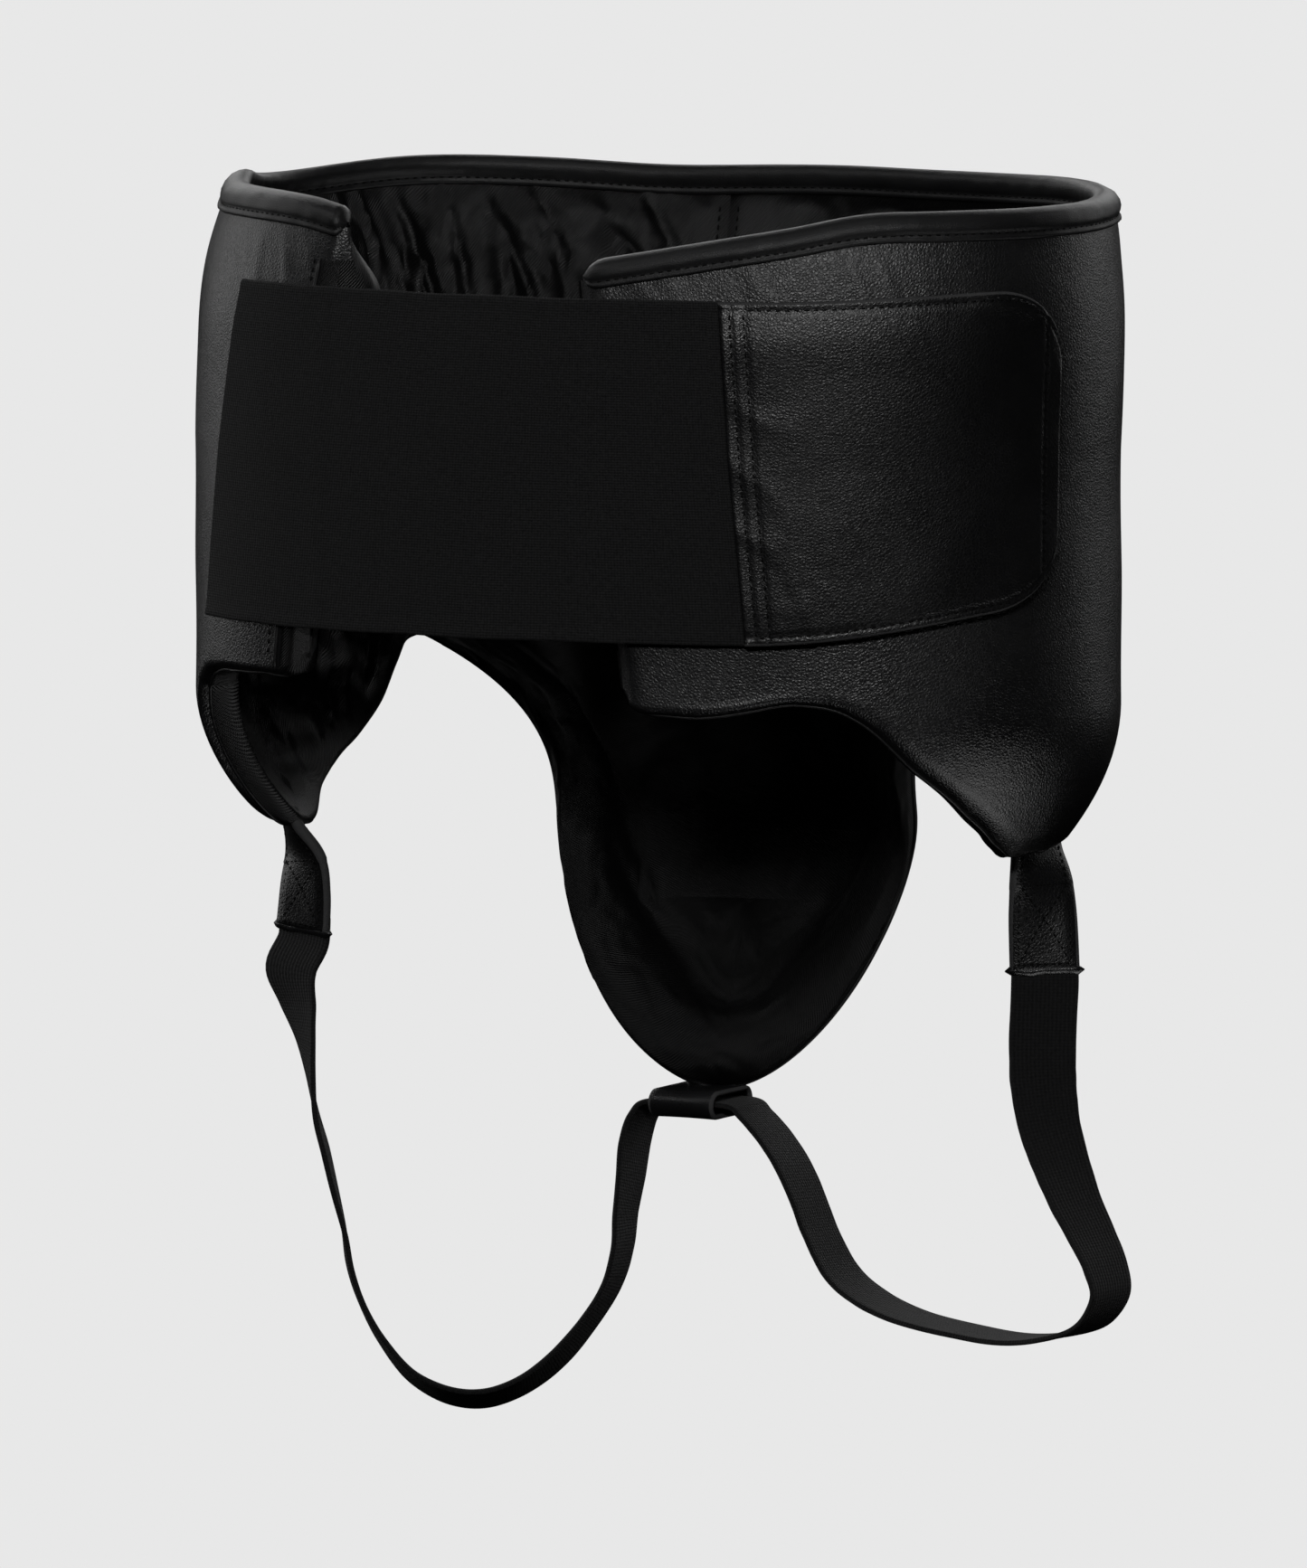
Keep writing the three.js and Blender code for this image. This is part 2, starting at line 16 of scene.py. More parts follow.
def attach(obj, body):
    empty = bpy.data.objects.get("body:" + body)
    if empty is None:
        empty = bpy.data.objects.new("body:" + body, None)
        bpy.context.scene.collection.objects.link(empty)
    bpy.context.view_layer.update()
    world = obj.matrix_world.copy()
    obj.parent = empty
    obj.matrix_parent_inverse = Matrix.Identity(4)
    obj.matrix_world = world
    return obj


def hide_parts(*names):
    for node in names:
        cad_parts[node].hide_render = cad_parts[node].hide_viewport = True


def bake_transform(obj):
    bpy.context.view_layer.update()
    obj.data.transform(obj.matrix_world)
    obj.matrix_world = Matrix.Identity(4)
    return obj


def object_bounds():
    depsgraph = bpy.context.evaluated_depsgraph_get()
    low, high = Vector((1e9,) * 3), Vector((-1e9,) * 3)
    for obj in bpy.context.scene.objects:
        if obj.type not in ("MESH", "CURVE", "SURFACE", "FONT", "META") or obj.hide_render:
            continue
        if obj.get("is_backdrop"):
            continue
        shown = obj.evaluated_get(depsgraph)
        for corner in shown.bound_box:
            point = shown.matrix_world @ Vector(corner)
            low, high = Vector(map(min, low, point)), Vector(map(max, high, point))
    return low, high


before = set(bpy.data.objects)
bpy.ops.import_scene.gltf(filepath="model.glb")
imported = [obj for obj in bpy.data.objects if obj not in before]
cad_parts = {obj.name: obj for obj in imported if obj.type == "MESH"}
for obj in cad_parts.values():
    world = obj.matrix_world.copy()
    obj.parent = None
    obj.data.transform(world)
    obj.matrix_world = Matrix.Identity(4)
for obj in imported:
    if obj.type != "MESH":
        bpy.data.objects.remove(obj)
cad_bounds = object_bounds()
scene = bpy.context.scene
MM = 0.001


# ---- Small maths ----

def lerp(a, b, t):
    return a + (b - a) * t


def clamp(x, low=0.0, high=1.0):
    return max(low, min(high, x))


def smooth(a, b, x):
    """Rises smoothly from 0 at x = a to 1 at x = b, where a may be the larger."""
    t = clamp((x - a) / (b - a))
    return t * t * (3 - 2 * t)


def bell(x, middle, width):
    """1 at the middle, falling to nothing a few widths away."""
    return math.exp(-((x - middle) / width) ** 2)


def curve(points, share):
    """A point of the smooth line through the given points, at a share from 0 to 1."""
    spans = len(points) - 1
    at = clamp(share) * spans
    i = min(int(at), spans - 1)
    t = at - i
    b, c = points[i], points[i + 1]
    if spans == 1:
        return [lerp(p, q, t) for p, q in zip(b, c)]
    a = points[i - 1] if i else [2 * p - q for p, q in zip(b, c)]
    d = points[i + 2] if i + 2 <= spans else [2 * q - p for p, q in zip(b, c)]
    return [
        0.5 * (2 * q + (r - p) * t + (2 * p - 5 * q + 4 * r - s) * t * t
               + (3 * q - p - 3 * r + s) * t ** 3)
        for p, q, r, s in zip(a, b, c, d)
    ]


def wander(x, y, z=0.0):
    """Smooth noise from -1 to 1."""
    return noise.noise(Vector((x, y, z)))


# ---- Camera ----

TURN = math.radians(16)
RISE = math.radians(6.5)
RIGHT = Vector((math.cos(TURN), math.sin(TURN), 0))
AHEAD = Vector((-math.sin(TURN) * math.cos(RISE), math.cos(TURN) * math.cos(RISE), -math.sin(RISE)))
ABOVE = RIGHT.cross(AHEAD)
CAMERA_DISTANCE = 12.0
FRAME_HEIGHT = 0.5898

camera_data = bpy.data.cameras.new("camera")
camera_data.sensor_fit = "AUTO"
camera_data.sensor_width = 36
camera_data.lens = 36 * CAMERA_DISTANCE / FRAME_HEIGHT
camera = bpy.data.objects.new("camera", camera_data)
scene.collection.objects.link(camera)
camera.location = -0.0015 * RIGHT - 0.1293 * ABOVE - CAMERA_DISTANCE * AHEAD
camera.rotation_euler = AHEAD.to_track_quat("-Z", "Y").to_euler()
scene.camera = camera
scene.view_settings.view_transform = "Standard"


# ---- Finishes ----

class Value:
    """A shader socket. Arithmetic on it adds Math nodes."""

    def __init__(self, tree, socket=None):
        self.tree = tree
        self.socket = socket

    def node(self, kind, settings=None, inputs=None, out=0):
        made = self.tree.nodes.new("ShaderNode" + kind)
        for key, value in (settings or {}).items():
            setattr(made, key, value)
        for key, value in (inputs or {}).items():
            if isinstance(value, Value):
                self.tree.links.new(value.socket, made.inputs[key])
            else:
                made.inputs[key].default_value = value
        return Value(self.tree, made.outputs[out])

    def maths(self, operation, a, b=0.0):
        return self.node("Math", {"operation": operation}, {0: a, 1: b})

    def __add__(self, other):
        return self.maths("ADD", self, other)

    def __sub__(self, other):
        return self.maths("SUBTRACT", self, other)

    def __rsub__(self, other):
        return self.maths("SUBTRACT", other, self)

    def __mul__(self, other):
        return self.maths("MULTIPLY", self, other)

    __radd__ = __add__
    __rmul__ = __mul__

    def wave(self):
        """From 0 to 1, as a rounded thread once each whole number."""
        return self.maths("SINE", self * (2 * math.pi)) * 0.5 + 0.5

    def between(self, low, high):
        """This value, taken from the range low to high onto 0 to 1."""
        return self.node("MapRange", {}, {"Value": self, "From Min": low, "From Max": high})

    def blend(self, first, second):
        """first where this value is 0, second where it is 1."""
        colours = {0: self, 6: (*first, 1), 7: (*second, 1)}
        return self.node("Mix", {"data_type": "RGBA"}, colours, out=2)

    def speckle(self, place, scale, detail=3.0):
        return self.node("TexNoise", {}, {"Vector": place, "Scale": scale, "Detail": detail})

    def cells(self, place, scale):
        inputs = {"Vector": place, "Scale": scale}
        return self.node("TexVoronoi", {"feature": "DISTANCE_TO_EDGE"}, inputs)

    def raised(self, height, strength, distance):
        inputs = {"Height": height, "Strength": strength, "Distance": distance}
        return self.node("Bump", {}, inputs)


def finish(name, recipe, **constants):
    """A material. recipe(kit) gives the sockets that vary; the constants are set directly."""
    made = bpy.data.materials.new(name)
    made.use_nodes = True
    tree = made.node_tree
    shader = tree.nodes["Principled BSDF"]
    for socket, value in recipe(Value(tree)).items():
        tree.links.new(value.socket, shader.inputs[socket])
    for socket, value in constants.items():
        shader.inputs[socket.replace("_", " ")].default_value = value
    return made


def hide(dark, light, rough, grain, size=1.0):
    """Pebbled synthetic leather: fine cells, soft creases and rubbed patches."""
    def recipe(kit):
        place = kit.node("TexCoord", out="Object")
        rubbed = kit.speckle(place, 26.0, 5.0)
        fine = kit.speckle(place, 900.0 / size, 2.0)
        pebbles = kit.cells(place, 950.0 / size).between(0.0, 0.32)
        creases = kit.speckle(place, 160.0, 4.0)
        height = pebbles * 0.55 + fine * 0.35 + creases * 1.1
        return {
            "Base Color": rubbed.between(0.35, 0.7).blend(dark, light),
            "Roughness": rubbed * 0.16 + fine * 0.1 - pebbles * 0.05 + (rough - 0.1),
            "Normal": kit.raised(height, grain, 0.0003),
        }
    return recipe


def twill(dark, light, rough, pitch):
    """Satin lining: fine diagonal ribs crossed by a finer thread."""
    def recipe(kit):
        cloth = kit.node("SeparateXYZ", {}, {0: kit.node("TexCoord", out="UV")}, out="X")
        up = Value(kit.tree, cloth.socket.node.outputs["Y"])
        place = kit.node("TexCoord", out="Object")
        patch = kit.speckle(place, 38.0, 4.0)
        ribs = (cloth * (1 / pitch) + up * (0.62 / pitch)).wave()
        threads = (cloth * (1.9 / pitch) - up * (1.3 / pitch)).wave()
        height = ribs * 0.8 + threads * 0.3 + kit.speckle(place, 700.0) * 0.5
        return {
            "Base Color": (ribs * 0.6 + patch * 0.5).between(0.2, 0.95).blend(dark, light),
            "Roughness": patch * 0.2 + (rough - 0.1),
            "Normal": kit.raised(height, 0.5, 0.0003),
        }
    return recipe


def webbing(dark, light, rough, pitch, rib):
    """Woven elastic: lengthwise ribs, rib times as wide as the crosswise threads."""
    def recipe(kit):
        along = kit.node("SeparateXYZ", {}, {0: kit.node("TexCoord", out="UV")}, out="X")
        across = Value(kit.tree, along.socket.node.outputs["Y"])
        place = kit.node("TexCoord", out="Object")
        threads = (along * (1 / pitch)).wave()
        ribs = (across * (1 / (pitch * rib))).wave()
        fuzz = kit.speckle(place, 1000.0, 2.0)
        patch = kit.speckle(place, 30.0, 3.0)
        height = threads * 0.45 + ribs * 0.6 + fuzz * 1.3
        tone = threads * 0.2 + ribs * 0.3 + fuzz * 0.8
        return {
            "Base Color": tone.between(0.25, 1.0).blend(dark, light),
            "Roughness": patch * 0.1 + (rough - 0.05),
            "Normal": kit.raised(height, 0.7, 0.0004),
        }
    return recipe


def twist(dark, light):
    """Sewing thread."""
    def recipe(kit):
        place = kit.node("TexCoord", out="Object")
        strands = kit.speckle(place, 2400.0, 2.0)
        return {
            "Base Color": strands.between(0.3, 0.7).blend(dark, light),
            "Roughness": strands * 0.2 + 0.55,
            "Normal": kit.raised(strands, 0.5, 0.0002),
        }
    return recipe


def brushed(dark, light):
    """Hook-and-loop tape: a stiff fuzz in close rows."""
    def recipe(kit):
        place = kit.node("TexCoord", out="Object")
        fuzz = kit.speckle(place, 1500.0, 4.0)
        rows = kit.cells(place, 620.0).between(0.0, 0.4)
        return {
            "Base Color": (fuzz * rows).between(0.1, 0.6).blend(dark, light),
            "Roughness": fuzz * 0.1 + 0.85,
            "Normal": kit.raised(rows + fuzz, 0.9, 0.0006),
        }
    return recipe


LEATHER = finish(
    "padded_leather", hide((0.0055, 0.0055, 0.006), (0.01, 0.01, 0.0105), 0.39, 0.5, 1.15),
    Specular_IOR_Level=0.5,
)
# A darker copy of the padded leather: painted shade for the dimmer middle and lower tab. The hip tabs share
# it.
TAB_LEATHER_PAINTED_SHADE = finish(
    "tab_leather", hide((0.0035, 0.0035, 0.0038), (0.006, 0.006, 0.0064), 0.36, 0.38, 1.15),
    Specular_IOR_Level=0.42,
)
BINDING_LEATHER = finish(
    "binding_leather", hide((0.0055, 0.0055, 0.0058), (0.0095, 0.0095, 0.01), 0.46, 0.3, 0.8),
    Specular_IOR_Level=0.3,
)
GLOSS_LEATHER = finish(
    "keeper_leather", hide((0.006, 0.006, 0.0065), (0.011, 0.011, 0.012), 0.3, 0.25, 0.8),
    Specular_IOR_Level=0.5,
)
RAW_EDGE = finish(
    "cut_leather_edge", hide((0.03, 0.03, 0.031), (0.055, 0.055, 0.056), 0.7, 0.5, 0.6),
    Specular_IOR_Level=0.3,
)
SATIN = finish(
    "satin_lining", twill((0.0012, 0.0012, 0.0013), (0.0046, 0.0046, 0.0048), 0.4, 0.00125),
    Specular_IOR_Level=0.25, Sheen_Weight=0.02, Sheen_Roughness=0.4,
)
# A darker copy of the satin lining: painted shade for the cup's deep hollow.
CUP_SATIN_PAINTED_SHADE = finish(
    "cup_lining", twill((0.0008, 0.0008, 0.0009), (0.0018, 0.0018, 0.002), 0.5, 0.001),
    Specular_IOR_Level=0.2, Sheen_Weight=0.01, Sheen_Roughness=0.4,
)
WIDE_ELASTIC = finish(
    "wide_elastic", webbing((0.002, 0.002, 0.0021), (0.018, 0.018, 0.0185), 0.93, 0.0011, 0.9),
    Specular_IOR_Level=0.17, Sheen_Weight=0.03, Sheen_Roughness=0.6,
)
STRAP_ELASTIC = finish(
    "strap_elastic", webbing((0.0024, 0.0024, 0.0026), (0.0135, 0.0135, 0.014), 0.9, 0.0012, 1.3),
    Specular_IOR_Level=0.22, Sheen_Weight=0.05, Sheen_Roughness=0.6,
)
THREAD = finish(
    "sewing_thread", twist((0.0008, 0.0008, 0.0008), (0.003, 0.003, 0.003)), Specular_IOR_Level=0.12,
)
FUZZ = finish("hook_and_loop", brushed((0.002, 0.002, 0.002), (0.012, 0.012, 0.012)))


# ---- Mesh makers ----

def mesh_piece(name, points, faces, finishes, marks=None, spots=None):
    """points in millimetres; marks gives each face's finish number, spots each point's UV."""
    mesh = bpy.data.meshes.new(name)
    mesh.from_pydata([tuple(c * MM for c in p) for p in points], [], faces)
    if spots:
        layer = mesh.uv_layers.new(name="cloth")
        for loop in mesh.loops:
            layer.data[loop.index].uv = spots[loop.vertex_index]
    for made in finishes:
        mesh.materials.append(made)
    for i, polygon in enumerate(mesh.polygons):
        polygon.use_smooth = True
        if marks:
            polygon.material_index = marks[i]
    mesh.validate()
    mesh.update()
    piece = bpy.data.objects.new(name, mesh)
    scene.collection.objects.link(piece)
    return piece


def woven(name, rows, finishes, mark=None, ring=False):
    """A mesh over rows of points. mark(i, j) picks the finish of the face at row i, point j."""
    wide = len(rows[0])
    points = [p for row in rows for p in row]
    along = [0.0]
    for before, row in zip(rows, rows[1:]):
        along.append(along[-1] + (row[wide // 3] - before[wide // 3]).length)
    up = [0.0]
    middle = rows[len(rows) // 2]
    for before, point in zip(middle, middle[1:]):
        up.append(up[-1] + (point - before).length)
    spots = [(a * MM, b * MM) for a in along for b in up]
    faces, marks = [], []
    for i in range(len(rows) - 1):
        for j in range(wide if ring else wide - 1):
            k = (j + 1) % wide
            faces.append((i * wide + j, (i + 1) * wide + j, (i + 1) * wide + k, i * wide + k))
            marks.append(mark(i, j) if mark else 0)
    return mesh_piece(name, points, faces, finishes, marks, spots)


def slab(name, place, along, up, finishes, edge=0.02, end=0.004):
    """A thin closed piece with soft edges. place(u, v, w) has w from 0, back, to 1, face."""
    face = [(lerp(edge, 1 - edge, j / up), 1.0) for j in range(up + 1)]
    back = [(v, 0.0) for v, _ in reversed(face)]
    section = [*face, (1 - edge * 0.3, 0.82), (1.0, 0.5), (1 - edge * 0.3, 0.18)]
    section += [*back, (edge * 0.3, 0.18), (0.0, 0.5), (edge * 0.3, 0.82)]
    stops = [0.0, end * 0.3, end]
    stops += [lerp(end, 1 - end, i / along) for i in range(1, along)]
    stops += [1 - end, 1 - end * 0.3, 1.0]
    rows = []
    for i, u in enumerate(stops):
        flat = 1.0 if i in (0, len(stops) - 1) else 0.35 if i in (1, len(stops) - 2) else 0.0
        rows.append([place(u, v, lerp(w, 0.5, flat)) for v, w in section])
    sides = range(up, up + 4)
    feet = range(len(section) - 4, len(section))
    mark = (lambda i, j: int(j in sides or j in feet)) if len(finishes) > 1 else None
    return closed(woven(name, rows, finishes, mark, ring=True))


def closed(piece):
    """Joins the points that meet at a piece's ends."""
    shape = bmesh.new()
    shape.from_mesh(piece.data)
    bmesh.ops.remove_doubles(shape, verts=shape.verts, dist=1e-6)
    shape.to_mesh(piece.data)
    shape.free()
    return piece


def cord_line(name, line, radius, made, sides=7):
    """A thin round bead along a line of points."""
    rows = []
    for i, p in enumerate(line):
        way = (line[min(i + 1, len(line) - 1)] - line[max(i - 1, 0)]).normalized()
        side = way.cross(Vector((0.3, 0.2, 1))).normalized()
        other = way.cross(side)
        size = radius * (0.1 if i in (0, len(line) - 1) else 1.0)
        angles = [2 * math.pi * k / sides for k in range(sides)]
        rows.append([p + side * size * math.cos(a) + other * size * math.sin(a) for a in angles])
    return woven(name, rows, [made], ring=True)


def stitches(name, runs, pitch=3.5, length=2.4, radius=0.5, sunk=0.05):
    """Short raised threads along runs of (point, outward direction)."""
    points, faces = [], []
    for run in runs:
        travelled, due = 0.0, pitch * 0.5
        for (p, out), (q, _) in zip(run, run[1:]):
            step = (q - p).length
            while step > 1e-6 and travelled + step >= due:
                way = (q - p) / step
                centre = p + way * (due - travelled) - out * sunk
                side = way.cross(out).normalized()
                first = len(points)
                points.append(centre - way * length / 2 - out * radius * 0.7)
                for share in (-0.62, 0.0, 0.62):
                    swell = radius * (1.0 if share == 0 else 0.85)
                    for k in range(5):
                        a = 2 * math.pi * k / 5
                        reach = side * math.cos(a) * swell + out * math.sin(a) * swell
                        points.append(centre + way * share * length / 2 + reach)
                points.append(centre + way * length / 2 - out * radius * 0.7)
                for k in range(5):
                    n = (k + 1) % 5
                    faces.append((first, first + 1 + n, first + 1 + k))
                    for level in (1, 6):
                        a, b = first + level + k, first + level + n
                        faces.append((a, b, b + 5, a + 5))
                    faces.append((first + 11 + k, first + 11 + n, first + 16))
                due += pitch
            travelled += step
    return mesh_piece(name, points, faces, [THREAD])


def drape(rows, across, along, slack, pressure, cap):
    """Lets part of a grid of points crumple as loose cloth that is held at its border.

    across and along are the first and last row and point; no point moves more than cap.
    """
    (first, last), (low, high) = across, along
    wide = high - low
    cloth = woven("loose_cloth", [row[low:high] for row in rows[first:last]], [SATIN])
    held = cloth.vertex_groups.new(name="held")
    border = []
    for index in range(len(cloth.data.vertices)):
        i, j = divmod(index, wide)
        if i in (0, last - first - 1) or j in (0, wide - 1):
            border.append(index)
    held.add(border, 1.0, "REPLACE")
    crumple = cloth.modifiers.new("crumple", "CLOTH")
    crumple.point_cache.frame_start = 1
    crumple.point_cache.frame_end = 20
    settings = crumple.settings
    settings.quality = 5
    settings.mass = 0.15
    settings.tension_stiffness = 20
    settings.compression_stiffness = 20
    settings.bending_stiffness = 0.02
    settings.shrink_min = -slack
    settings.use_pressure = True
    settings.uniform_pressure_force = pressure
    settings.effector_weights.gravity = 0
    settings.vertex_group_mass = "held"
    for step in range(1, 21):
        scene.frame_set(step)
    moved = cloth.evaluated_get(bpy.context.evaluated_depsgraph_get()).data
    for index, vertex in enumerate(moved.vertices):
        i, j = divmod(index, wide)
        old = rows[first + i][low + j]
        shift = vertex.co / MM - old
        if shift.length > cap:
            shift *= cap / shift.length
        rows[first + i][low + j] = old + shift
    bpy.data.objects.remove(cloth)
    scene.frame_set(1)


# ---- Leg straps ----

def ribbon(points, width, thickness):
    """place(u, v, w) of a flat ribbon through [x, y, z, turn, tilt] points."""
    route = [[*p, 0][:5] for p in points]

    def place(u, v, w):
        x, y, z, turn, tilt = curve(route, u)
        before, after = curve(route, u - 0.004), curve(route, u + 0.004)
        way = (Vector(after[:3]) - Vector(before[:3])).normalized()
        turn, tilt = math.radians(turn), math.radians(tilt)
        side = Vector((math.cos(turn), math.sin(turn), math.tan(tilt)))
        side = (side - way * side.dot(way)).normalized()
        face = way.cross(side)
        return Vector((x, y, z)) + side * (v - 0.5) * width + face * (w - 0.5) * thickness
    return place


STRAP_WIDTH = 25.4
STRAP_THICKNESS = 1.8
TAB_WIDTH = 26.4
TAB_THICKNESS = 4.4
HIP_TABS = {
    "right": [(146, 4.5, -144, 66), (147, 4, -152, 62), (149, 3, -164, 42), (150, 2, -178, 26),
              (151, 1, -197, 18)],
    "left": [(-147, 6, -144, -66), (-144.5, 6, -152, -62), (-140.3, 6, -164, -40),
             (-140.2, 6, -176, -30), (-141.2, 6, -191, -26)],
}
LEG_STRAPS = {
    "right": [
        (150.6, 1.2, -190, 19), (151, 1, -200.5, 18), (150, 1.5, -226, 20), (150.5, 1.5, -240, 28),
        (153, 0, -254, 38), (158, -2, -268, 46), (164, -5, -281, 54), (171.5, -8, -294, 60),
        (178, -11, -306, 66), (180, -12, -317, 70), (171.5, -8, -328.5, 72), (155, -1, -334.5, 72),
        (137, 7.5, -337, 72), (116.5, 16.5, -336, 72), (92, 27.5, -333, 72), (74, 36, -327.5, 72),
        (60.6, 42, -319, 74), (51, 46, -304.5, 76), (44.8, 48.5, -291, 76), (38, 51.5, -279, 76),
        (30, 55.5, -269.5, 77), (21.5, 59.5, -262, 78), (15.6, 61.4, -258.2, 78),
        (0.5, 64.6, -258, 78),
    ],
    "left": [
        (-140.2, 6, -184, -27), (-141, 6, -194.5, -25), (-145.5, 4.5, -206, -26),
        (-143.2, 6, -219, -42), (-140.8, 7, -232, -58), (-139, 8, -246, -68),
        (-137, 8.5, -261, -74), (-133.5, 9.5, -275, -76), (-130.5, 11.5, -290, -75),
        (-127, 13, -306, -72), (-125, 14, -320, -70), (-121, 16, -333.5, -69),
        (-114, 19.5, -348, -70, 8), (-104, 24.5, -361.5, -72, 15), (-91, 31, -369.5, -76, 20),
        (-78, 37.5, -371, -80, 20), (-65, 44, -366, -86, 16), (-53, 50, -356, -92, 9),
        (-42.5, 55, -342.5, -94), (-35, 59, -329, -92), (-31.2, 60.5, -315, -92),
        (-30.2, 61.5, -301, -94), (-29, 64, -288, -98), (-28, 66.5, -275, -101),
        (-25, 68.5, -264.5, -102), (-18.6, 68.6, -258.2, -102), (-3.5, 65.4, -258, -102),
    ],
}


# Where each strap's two ends are held, the line between them, and the lowest point.
STRAP_SWING = {
    "right": ((151, 1, -201.2), (-0.85243, 0.38026, -0.35885), (137, 7.5, -337)),
    "left": ((-141, 6, -195.2), (0.80939, 0.41395, -0.41659), (-78, 37.5, -371)),
}


def leg_strap(side):
    route = LEG_STRAPS[side]
    place = ribbon(route, STRAP_WIDTH, STRAP_THICKNESS)

    def soft(u, v, w):
        """The woven edges are a little thicker than the middle and wander slightly."""
        selvedge = smooth(0.38, 0.48, abs(v - 0.5))
        stray = 0.012 * wander(u * 46, v * 0.5, 3.0) * selvedge
        return place(u, v + stray * (1 if v > 0.5 else -1), lerp(w, (w - 0.5) * 1.15 + 0.5, selvedge))

    strap = slab(f"{side}_leg_strap_webbing", soft, 230, 12, [STRAP_ELASTIC], 0.03, 0.003)
    line = [Vector(curve(route, i / 180)[:3]) * MM for i in range(181)]
    length = sum((b - a).length for a, b in zip(line, line[1:]))
    held, hinge, lowest = STRAP_SWING[side]
    held, hinge, lowest = Vector(held), Vector(hinge), Vector(lowest)
    hang = lowest - held
    hang = (hang - hinge * hang.dot(hinge)).normalized()
    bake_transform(strap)
    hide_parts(f"{side}_leg_strap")
    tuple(line[0])
    return strap


for side in ("left", "right"):
    leg_strap(side)


def hip_tab(side):
    """The folded leather tab that holds a strap's top end, with its box of stitches."""
    place = ribbon(HIP_TABS[side], TAB_WIDTH, TAB_THICKNESS)

    def puffed(u, v, w):
        middle = 1 - abs(2 * v - 1) ** 3
        swell = 1 + 0.12 * middle + 0.08 * wander(u * 5, v * 3, 7.0)
        pull = 0.82 if 0.5 < u < 0.97 and abs(v - 0.5) > 0.36 else 1.0
        return place(u, v, (w - 0.5) * swell * pull + 0.5)

    tab = slab(f"{side}_hip_tab_leather", puffed, 40, 16, [TAB_LEATHER_PAINTED_SHADE, RAW_EDGE], 0.05, 0.03)
    low, high, near, far = 0.5, 0.955, 0.13, 0.87
    corners = [(low, near), (low, far), (high, far), (high, near), (low, near), (high, far)]
    lines = [corners, [(low, far), (high, near)], [(0.1, near), (low, near)], [(0.1, far), (low, far)]]
    runs = []
    for face in (0.0, 1.0):
        for stops in lines:
            for (u0, v0), (u1, v1) in zip(stops, stops[1:]):
                run = []
                for i in range(25):
                    u, v = lerp(u0, u1, i / 24), lerp(v0, v1, i / 24)
                    p = puffed(u, v, face)
                    run.append((p, (p - place(u, v, 0.5)).normalized()))
                runs.append(run)
    sewn = stitches(f"{side}_hip_tab_stitches", runs, 2.7, 1.9, 0.4)
    fold = [place(0.985 + 0.012 * wander(v * 0.4, 0, 4), lerp(-0.07, 1.07, v / 12), 0.5) for v in range(13)]
    lip = cord_line(f"{side}_hip_tab_fold", fold, 2.1, GLOSS_LEATHER)
    for piece in (tab, sewn, lip):
        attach(piece, "front")
    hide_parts(f"{side}_hip_tab")


for side in ("left", "right"):
    hip_tab(side)


# ---- Keeper loop ----

KEEPER = Vector((-1.5, 65, -258))
KEEPER_TURN = math.radians(-12)
KEEPER_LONG = Vector((math.cos(KEEPER_TURN), math.sin(KEEPER_TURN), 0))
KEEPER_DEEP = Vector((-math.sin(KEEPER_TURN), math.cos(KEEPER_TURN), 0))
KEEPER_LENGTH = 28
KEEPER_DEPTH = 32
KEEPER_HEIGHT = 9.0
KEEPER_WALL = 2.0


def keeper_section(share):
    """The middle line of the flattened loop and its outward direction, in depth and height."""
    flat = KEEPER_DEPTH - KEEPER_HEIGHT
    bend = math.pi * KEEPER_HEIGHT / 2
    at = (share % 1.0) * 2 * (flat + bend)
    half = KEEPER_HEIGHT / 2
    if at < flat:
        return flat / 2 - at, half, 0.0, 1.0
    at -= flat
    if at < bend:
        a = math.pi / 2 + at / half
        return -flat / 2 + half * math.cos(a), half * math.sin(a), math.cos(a), math.sin(a)
    at -= bend
    if at < flat:
        return at - flat / 2, -half, 0.0, -1.0
    a = -math.pi / 2 + (at - flat) / half
    return flat / 2 + half * math.cos(a), half * math.sin(a), math.cos(a), math.sin(a)


def keeper_place(u, v, w):
    deep, high, out_deep, out_high = keeper_section(u)
    sag = 0.7 * math.sin(math.pi * v) * (-1 if high > 0 else 0.3) * abs(out_high)
    off = (w - 0.5) * KEEPER_WALL
    long = (v - 0.5) * KEEPER_LENGTH + 0.5 * wander(u * 6, 0.0, 5.0)
    return (KEEPER + KEEPER_LONG * long + KEEPER_DEEP * (deep + out_deep * off)
            + Vector((0, 0, high + sag + out_high * off)))


loop = slab("keeper_loop_leather", keeper_place, 90, 14, [GLOSS_LEATHER, RAW_EDGE], 0.05, 0.002)
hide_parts("keeper_loop", "keeper_strap")


def hanger_place(u, v, w):
    """The strip that joins the keeper to the cup's tip."""
    wide = lerp(25, 23, u)
    x = 1.5 + (v - 0.5) * wide
    y = lerp(79.2, 76.5, u * u) + (w - 0.5) * 2.2 + 0.3 * wander(u * 3, v * 3, 2.0)
    return Vector((x, y, lerp(-243, -253.4, u)))


hanger = slab("keeper_hanger_leather", hanger_place, 12, 10, [GLOSS_LEATHER], 0.05, 0.05)
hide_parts("keeper_hanger")
bar = []
for i in range(41):
    point = hanger_place(0.62, lerp(0.08, 0.92, i / 40), 0.0)
    bar.append((point, Vector((0, -1, 0))))
hanger_sewn = stitches("keeper_hanger_stitches", [bar], 2.6, 1.8, 0.4)
for piece in (loop, hanger, hanger_sewn):
    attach(piece, "front")


# ---- Padded wall ----

RING_HALF_WIDTH = 178
RING_HALF_DEPTH = 101
RING_SQUARENESS = 0.02
HIP_CURL_RATE = {"left": 0.0137, "right": 0.0112}
WALL_TOP = 89


